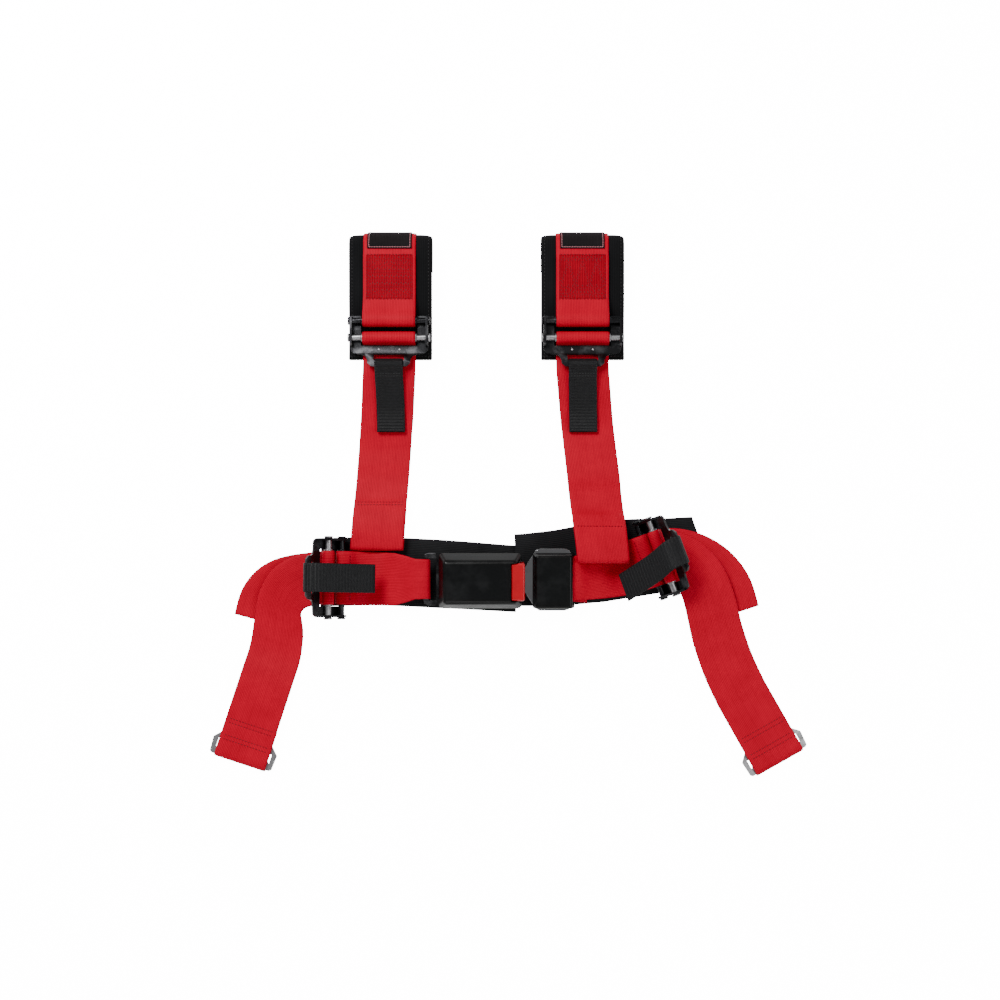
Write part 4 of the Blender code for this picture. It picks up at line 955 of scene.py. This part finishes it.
def right_inner(half):
    """Rest of the tongue side's inner strap: down to the pad, then up and round the tongue's bar."""
    ply = LAP_PLY + PLY + 0.0002
    route = [(0.1375, -0.0603, LAP_BAR_Z + 0.0045), (0.130, -0.0628, 0.0128), (0.121, -0.0655, ply + 0.0014)]
    bar = BUCKLE @ Vector((TONGUE_BAR_X, 0, TONGUE_Z))
    stations = []
    for p, lean in zip(route, (0.0, 0.10, 0.25)):
        stations.append((Vector(p), half.normalized().lerp(BUCKLE_ACROSS, lean).normalized() * WEB / 2))
    gather = [(0.044, 0.03, 0.0253), (0.032, 0.16, 0.0244), (0.020, 0.50, 0.0230), (0.009, 0.90, TONGUE_HALF)]
    for step, rise, wide in gather:
        z = ply + 0.001 + (bar.z + TONGUE_LOOP - ply) * rise
        y = bar.y + (route[-1][1] - bar.y) * step / (route[-1][0] - bar.x)
        lean = half.normalized().lerp(BUCKLE_ACROSS, 0.35 + 0.65 * rise).normalized()
        stations.append((Vector((bar.x + step, y, z)), lean * wide))
    back = [(0.009, -TONGUE_LOOP + 0.0008, TONGUE_HALF), (0.018, -TONGUE_LOOP - 0.0026, 0.0222)]
    return stations + end_loop(bar, TONGUE_LOOP, TONGUE_HALF, 90, 270, back)


def lap_half(side, fixed, heading, inner, outer, tail, anchor_place):
    """One half of the lap belt: its pull tab, inner strap and outer strap."""
    tilt = math.radians(LAP_TILT[side])
    out = Vector((math.cos(math.radians(heading)), math.sin(math.radians(heading)), 0))
    across = Vector((-out.y, out.x, 0))
    u = out * math.cos(tilt) + Vector((0, 0, math.sin(tilt)))
    w = -out * math.sin(tilt) + Vector((0, 0, math.cos(tilt)))
    fixed = Vector(fixed)
    holder = Matrix((u, across, w)).transposed().to_4x4()
    holder.translation = fixed
    swerve = LAP_TAB_SWERVE[side]
    hang = [(LEVER_U + 0.0010, LEVER_Z + 0.0068, 0.0), (LEVER_U - 0.0055, LEVER_Z + 0.0130, swerve * 0.1)]
    hang += [(LEVER_U - 0.0220, LEVER_Z + 0.0200, swerve * 0.5), (LEVER_U - 0.0530, LEVER_Z + 0.0335, swerve)]
    pull_tab("lap", side, holder, hang)

    half = across * WEB / 2
    path = [(-0.030, LAP_PLY), (-0.020, LAP_PLY), (-0.012, LAP_PLY + 0.0006)]
    path += arc((0, fixed.z), WRAP, 268, 450, 9)
    start = [(fixed + out * a + Vector((0, 0, z - fixed.z)), half) for a, z in path]
    strip = Strip(start + inner(half))
    piece = "lap_web_inner_" + side
    made = strip_mesh(piece, strip, web_depth(WEB_THICK), 14, RED_WEB)
    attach(made, "lap_" + side)
    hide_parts("lap_strap_inner_" + side)
    lines = []
    for reach in (0.0205, 0.0260):
        at = strip.nearest(fixed - out * reach)
        lines.append(seam(strip, [(at, -0.86), (at, 0.86)], WEB_THICK / 2))
    thread = sew(piece + "_thread", lines, "lap_" + side, RED_THREAD)

    slide = fixed + u * BAR_GAP
    ring = []
    for a, z in arc((0, slide.z), WRAP, -80, 180, 12):
        ring.append((slide + out * -a + Vector((0, 0, z - slide.z)), -half))
    loop_mid = Vector(anchor_place[:3])
    run = math.radians(anchor_place[3])
    along = Vector((math.cos(run), math.sin(run), 0))
    half_end = Vector((along.y, -along.x, 0)) * WEB / 2
    loop = arc((0, 0), ANCHOR_LOOP, 90, -215, 14)
    loop += [(-0.0065, ANCHOR_LOOP - PLY - 0.0001), (-0.012, ANCHOR_LOOP - PLY), (-0.034, ANCHOR_LOOP - PLY)]
    ending = [(loop_mid + along * a + Vector((0, 0, z)), half_end) for a, z in loop]
    strip = Strip(list(reversed(plan_stations(tail))) + ring + plan_stations(outer) + ending)
    piece = "lap_web_outer_" + side
    made = strip_mesh(piece, strip, web_depth(WEB_THICK), 14, RED_WEB)
    body = "lap_outer_" + side
    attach(made, body)
    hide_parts("lap_strap_outer_" + side)
    lines = []
    for reach in (0.0125, 0.0165, 0.0290, 0.0330):
        at = strip.nearest(loop_mid - along * reach)
        lines.append(seam(strip, [(at, -0.86), (at, 0.86)], WEB_THICK / 2))
    thread = sew(piece + "_thread", lines, body, RED_THREAD)


lap_half("left", (-0.1515, -0.0745, LAP_BAR_Z), 180, left_inner,
         [(-0.1695, -0.0745, 0.0205, 180), (-0.1745, -0.0751, 0.0165, 183), (-0.1825, -0.0763, 0.0150, 187),
          (-0.1925, -0.0790, 0.0138, 195), (-0.2010, -0.0845, 0.0125, 207), (-0.2067, -0.0924, 0.0110, 221),
          (-0.2105, -0.1048, 0.0085, 237), (-0.2123, -0.1215, 0.0055, 248), (-0.2155, -0.1450, 0.0052, 252),
          (-0.2220, -0.1680, 0.0085, 252), (-0.2285, -0.1890, 0.0097, 252), (-0.2440, -0.2375, 0.0097, 252)],
         [(-0.1670, -0.0745, 0.0187, 180), (-0.1720, -0.0748, 0.0138, 182), (-0.1835, -0.0758, 0.0115, 184),
          (-0.1975, -0.0777, 0.0080, 189), (-0.2115, -0.0817, 0.0050, 198), (-0.2220, -0.0891, 0.0025, 213),
          (-0.2284, -0.1002, 0.0013, 235), (-0.2314, -0.1159, 0.0012, 255)],
         (-0.2468, -0.2462, LOOP_Z, 252))
lap_half("right", (0.1437, -0.0580, LAP_BAR_Z), 20, right_inner,
         [(0.1600, -0.0530, 0.0205, 14), (0.1650, -0.0545, 0.0170, 4), (0.1730, -0.0580, 0.0150, -10),
          (0.1830, -0.0650, 0.0142, -27), (0.1920, -0.0760, 0.0132, -44), (0.1985, -0.0900, 0.0115, -57),
          (0.2035, -0.1070, 0.0090, -65), (0.2090, -0.1290, 0.0058, -67), (0.2180, -0.1570, 0.0075, -64),
          (0.2280, -0.1800, 0.0095, -61), (0.2340, -0.1915, 0.0097, -61), (0.2600, -0.2380, 0.0097, -61)],
         [(0.1575, -0.0530, 0.0192, 17), (0.1625, -0.0522, 0.0142, 8), (0.1730, -0.0530, 0.0120, -4),
          (0.1870, -0.0570, 0.0102, -17), (0.2010, -0.0650, 0.0082, -31), (0.2120, -0.0760, 0.0064, -46),
          (0.2200, -0.0900, 0.0048, -60), (0.2250, -0.1090, 0.0036, -72)],
         (0.2647, -0.2462, LOOP_Z, -61))


# ---------------------------------------------------------------- lap pads
# A flat black sleeve of ribbed cloth over thin foam lies under each half of the lap belt; the tongue side's
# one overlaps the buckle side's one under the buckle.
LAP_CLOTH = cloth_material("lap_pad_cover", (0.0015, 0.0015, 0.0018), (0.022, 0.022, 0.024), 40, 44, 0.9,
                           0.85, 0.0)
OVER = LAP_PAD + 2 * GAP
PAD_LOW = LAP_PAD / 2
LAP_PAD_LINES = {
    "left": [(-0.173, -0.0690, PAD_LOW, 0, 0.0330), (-0.120, -0.0680, PAD_LOW, 0, 0.0330),
             (-0.060, -0.0705, PAD_LOW, -3, 0.0330), (0.017, -0.0755, PAD_LOW, -3, 0.0320)],
    "right": [(0.0150, -0.0670, PAD_LOW + OVER, 2, 0.0345), (0.0230, -0.0668, PAD_LOW + OVER, 2, 0.0348),
              (0.0360, -0.0660, PAD_LOW + OVER * 0.55, 2, 0.0355), (0.0520, -0.0650, PAD_LOW, 2, 0.0365),
              (0.096, -0.0590, PAD_LOW, 5, 0.0390), (0.134, -0.0545, PAD_LOW, 9, 0.0375),
              (0.165, -0.0515, PAD_LOW, 14, 0.0355), (0.197, -0.0480, PAD_LOW, 19, 0.0345)],
}
for side, points in LAP_PAD_LINES.items():
    stations = []
    for x, y, z, lean, half in points:
        a = math.radians(lean)
        stations.append((Vector((x, y, z)), Vector((-math.sin(a), math.cos(a), 0)) * half))
    strip = Strip(stations, 0.003)
    depth = crowned(LAP_PAD / 2, 0.0012, strip.length, (), 0.008)
    cushion = strip_mesh("lap_cushion_" + side, strip, depth, 36, LAP_CLOTH, WEB)
    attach(cushion, "lap_" + side)
    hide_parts("lap_pad_" + side)
    rim = [seam(strip, [(0.004 + (strip.length - 0.008) * k / 30, across) for k in range(31)], 0.0016)
           for across in (-0.90, 0.90)]
    rim += [seam(strip, [(along, -0.90), (along, 0.90)], 0.0016) for along in (0.004, strip.length - 0.004)]
    sew("lap_cushion_" + side + "_thread", rim, "lap_" + side, BLACK_THREAD, 0.0036, 0.00028)


# ---------------------------------------------------------------- adjusters, anchors and buckle
# The metal and plastic pieces: stamped steel frames plated black, zinc-plated bars, screws and anchor
# plates, a chrome tongue, moulded covers with a fine texture, and a red release button.
def wear_group():
    """Scuffs, dust and brushed streaks for hard surfaces, from the piece's own place."""
    ins = [("Place", "NodeSocketVector", 0), ("Scale", "NodeSocketFloat", 60),
           ("Streak", "NodeSocketFloat", 8)]
    tree, n, given, made = group_tree("hard_wear", ins, ["Scuff", "Grain", "Streaks"])
    big = n.add("ShaderNodeTexNoise")
    big.inputs["Detail"].default_value = 5.0
    big.inputs["Roughness"].default_value = 0.62
    n.link(given.outputs["Place"], big.inputs["Vector"])
    n.link(given.outputs["Scale"], big.inputs["Scale"])
    patches = n.math("MULTIPLY_ADD", big.outputs["Fac"], 5.0, -2.4)
    scuff = n.math("MINIMUM", n.math("MAXIMUM", patches, 0.0), 1.0)
    grain = n.noise(given.outputs["Place"], 2400.0, 2.0)
    stretch = n.add("ShaderNodeVectorMath", operation="MULTIPLY")
    n.link(given.outputs["Place"], stretch.inputs[0])
    stretch.inputs[1].default_value = (2600.0, 90.0, 2600.0)
    lines = n.add("ShaderNodeTexNoise")
    lines.inputs["Scale"].default_value = 1.0
    lines.inputs["Detail"].default_value = 2.0
    n.link(stretch.outputs[0], lines.inputs["Vector"])
    n.link(scuff, made.inputs["Scuff"])
    n.link(grain, made.inputs["Grain"])
    n.link(lines.outputs["Fac"], made.inputs["Streaks"])
    return tree


WEAR = wear_group()


def hard_material(name, clean, worn, roughness, metallic, bump=0.15, spread=0.2, streaks=0.0, coat=0.0,
                  scale=60.0):
    """Metal or plastic with scuffed patches, a fine grain and, on steel, drawn streaks."""
    made = bpy.data.materials.new(name)
    made.use_nodes = True
    n = Nodes(made.node_tree)
    shader = made.node_tree.nodes["Principled BSDF"]
    where = n.add("ShaderNodeTexCoord").outputs["Object"]
    wear = n.add("ShaderNodeGroup", node_tree=WEAR)
    wear.inputs["Scale"].default_value = scale
    n.link(where, wear.inputs["Place"])
    n.link(n.blend(wear.outputs["Scuff"], clean, worn), shader.inputs["Base Color"])
    rough = n.math("MULTIPLY_ADD", wear.outputs["Scuff"], spread, roughness)
    rough = n.math("MULTIPLY_ADD", wear.outputs["Streaks"], streaks * 0.5, rough)
    n.link(rough, shader.inputs["Roughness"])
    relief = n.add("ShaderNodeBump")
    relief.inputs["Strength"].default_value = bump
    relief.inputs["Distance"].default_value = 0.00012
    mixed = n.math("MULTIPLY_ADD", wear.outputs["Streaks"], streaks, wear.outputs["Grain"])
    n.link(mixed, relief.inputs["Height"])
    n.link(relief.outputs[0], shader.inputs["Normal"])
    shader.inputs["Metallic"].default_value = metallic
    shader.inputs["Coat Weight"].default_value = coat
    shader.inputs["Coat Roughness"].default_value = 0.12
    return made


BLACK_STEEL = hard_material("black_plated_steel", (0.020, 0.020, 0.022), (0.070, 0.070, 0.074), 0.22, 0.9,
                            0.10, 0.14, 0.2)
ZINC = hard_material("zinc_plated_steel", (0.34, 0.34, 0.35), (0.20, 0.20, 0.20), 0.24, 1.0, 0.15, 0.18, 0.5)
SPRING = hard_material("spring_wire", (0.35, 0.35, 0.37), (0.22, 0.22, 0.23), 0.28, 1.0, 0.10, 0.1, 0.2)
CHROME = hard_material("chrome_plate", (0.24, 0.24, 0.25), (0.16, 0.16, 0.165), 0.10, 1.0, 0.04, 0.12, 0.15)
BLACK_PLASTIC = hard_material("moulded_black_plastic", (0.0015, 0.0015, 0.0018), (0.005, 0.005, 0.0055),
                              0.30, 0.0, 0.30, 0.12, 0.0, 0.1)
RED_PLASTIC = hard_material("release_red_plastic", (0.44, 0.0, 0.008), (0.34, 0.0, 0.006), 0.28, 0.0,
                            0.12, 0.1, 0.0, 0.35)
WHITE_PLASTIC = hard_material("ejector_plastic", (0.62, 0.62, 0.60), (0.50, 0.50, 0.48), 0.4, 0.0, 0.2)
for moulded in (BLACK_PLASTIC, RED_PLASTIC):
    moulded.node_tree.nodes["Principled BSDF"].inputs["Specular IOR Level"].default_value = 0.16

FINISHES = {"black_steel": BLACK_STEEL, "zinc_steel": ZINC, "spring_steel": SPRING, "chrome": CHROME,
            "black_plastic": BLACK_PLASTIC, "red_plastic": RED_PLASTIC, "white_plastic": WHITE_PLASTIC}
# Width of the small bevel on each finish's edges.
SOFTENED = {"black_steel": 0.0005, "zinc_steel": 0.0004, "chrome": 0.0004, "black_plastic": 0.0006,
            "red_plastic": 0.0005}

for subpart in frame["record"]["subparts"]:
    piece = frame["nodes"][subpart["node"]]
    finish = FINISHES.get(subpart["material_slot"])
    if finish is None:
        continue
    piece.data.materials.clear()
    piece.data.materials.append(finish)
    weld = piece.modifiers.new("Weld", "WELD")
    weld.merge_threshold = 0.000005
    rounding = SOFTENED.get(subpart["material_slot"])
    if rounding:
        bevel = piece.modifiers.new("Bevel", "BEVEL")
        bevel.width = rounding
        bevel.segments = 2
        bevel.limit_method = "ANGLE"
        bevel.angle_limit = math.radians(40)
        bevel.harden_normals = False
    piece.data.shade_smooth()
    weighted = piece.modifiers.new("Normals", "WEIGHTED_NORMAL")
    weighted.weight = 100
    weighted.keep_sharp = True

RIVET_RADIUS = 0.0013
RIVET_FLATTENING = 0.55
RIVET_OUT = 0.0100  # from the adjuster's middle to each rivet
RIVET_ALONG = 0.0272  # from the fixed bar
RIVET_SINK = 0.0001


def rivets(kind, side, holder):
    """Two small domed rivet heads on the adjuster's plate, between the sliding bar and the lever."""
    bm = bmesh.new()
    for across in (-RIVET_OUT, RIVET_OUT):
        place = Matrix.Translation((RIVET_ALONG, across, PLATE_Z + PLATE / 2 - RIVET_SINK))
        dome = bmesh.ops.create_uvsphere(bm, u_segments=16, v_segments=10, radius=RIVET_RADIUS)
        for vert in dome["verts"]:
            vert.co.z *= RIVET_FLATTENING
            vert.co = place @ vert.co
    made = mesh_object(kind + "_rivets_" + side, bm, ZINC, Matrix.Translation(ORIGIN) @ holder)
    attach(made, kind + "_adjuster_" + side)


for side in ("left", "right"):
    for kind in ("shoulder", "lap"):
        rivets(kind, side, HOLDERS[kind, side])


# ---------------------------------------------------------------- on the table
# The lowest plies of cloth rest on the table and never below it.
for piece in bpy.context.scene.collection.all_objects:
    if piece.type == "MESH" and piece.data.uv_layers.get("weave"):
        floor_z = 0.0002 if piece.modifiers.get("Solidify") else 0.0
        for vert in piece.data.vertices:
            vert.co.z = max(vert.co.z, floor_z)
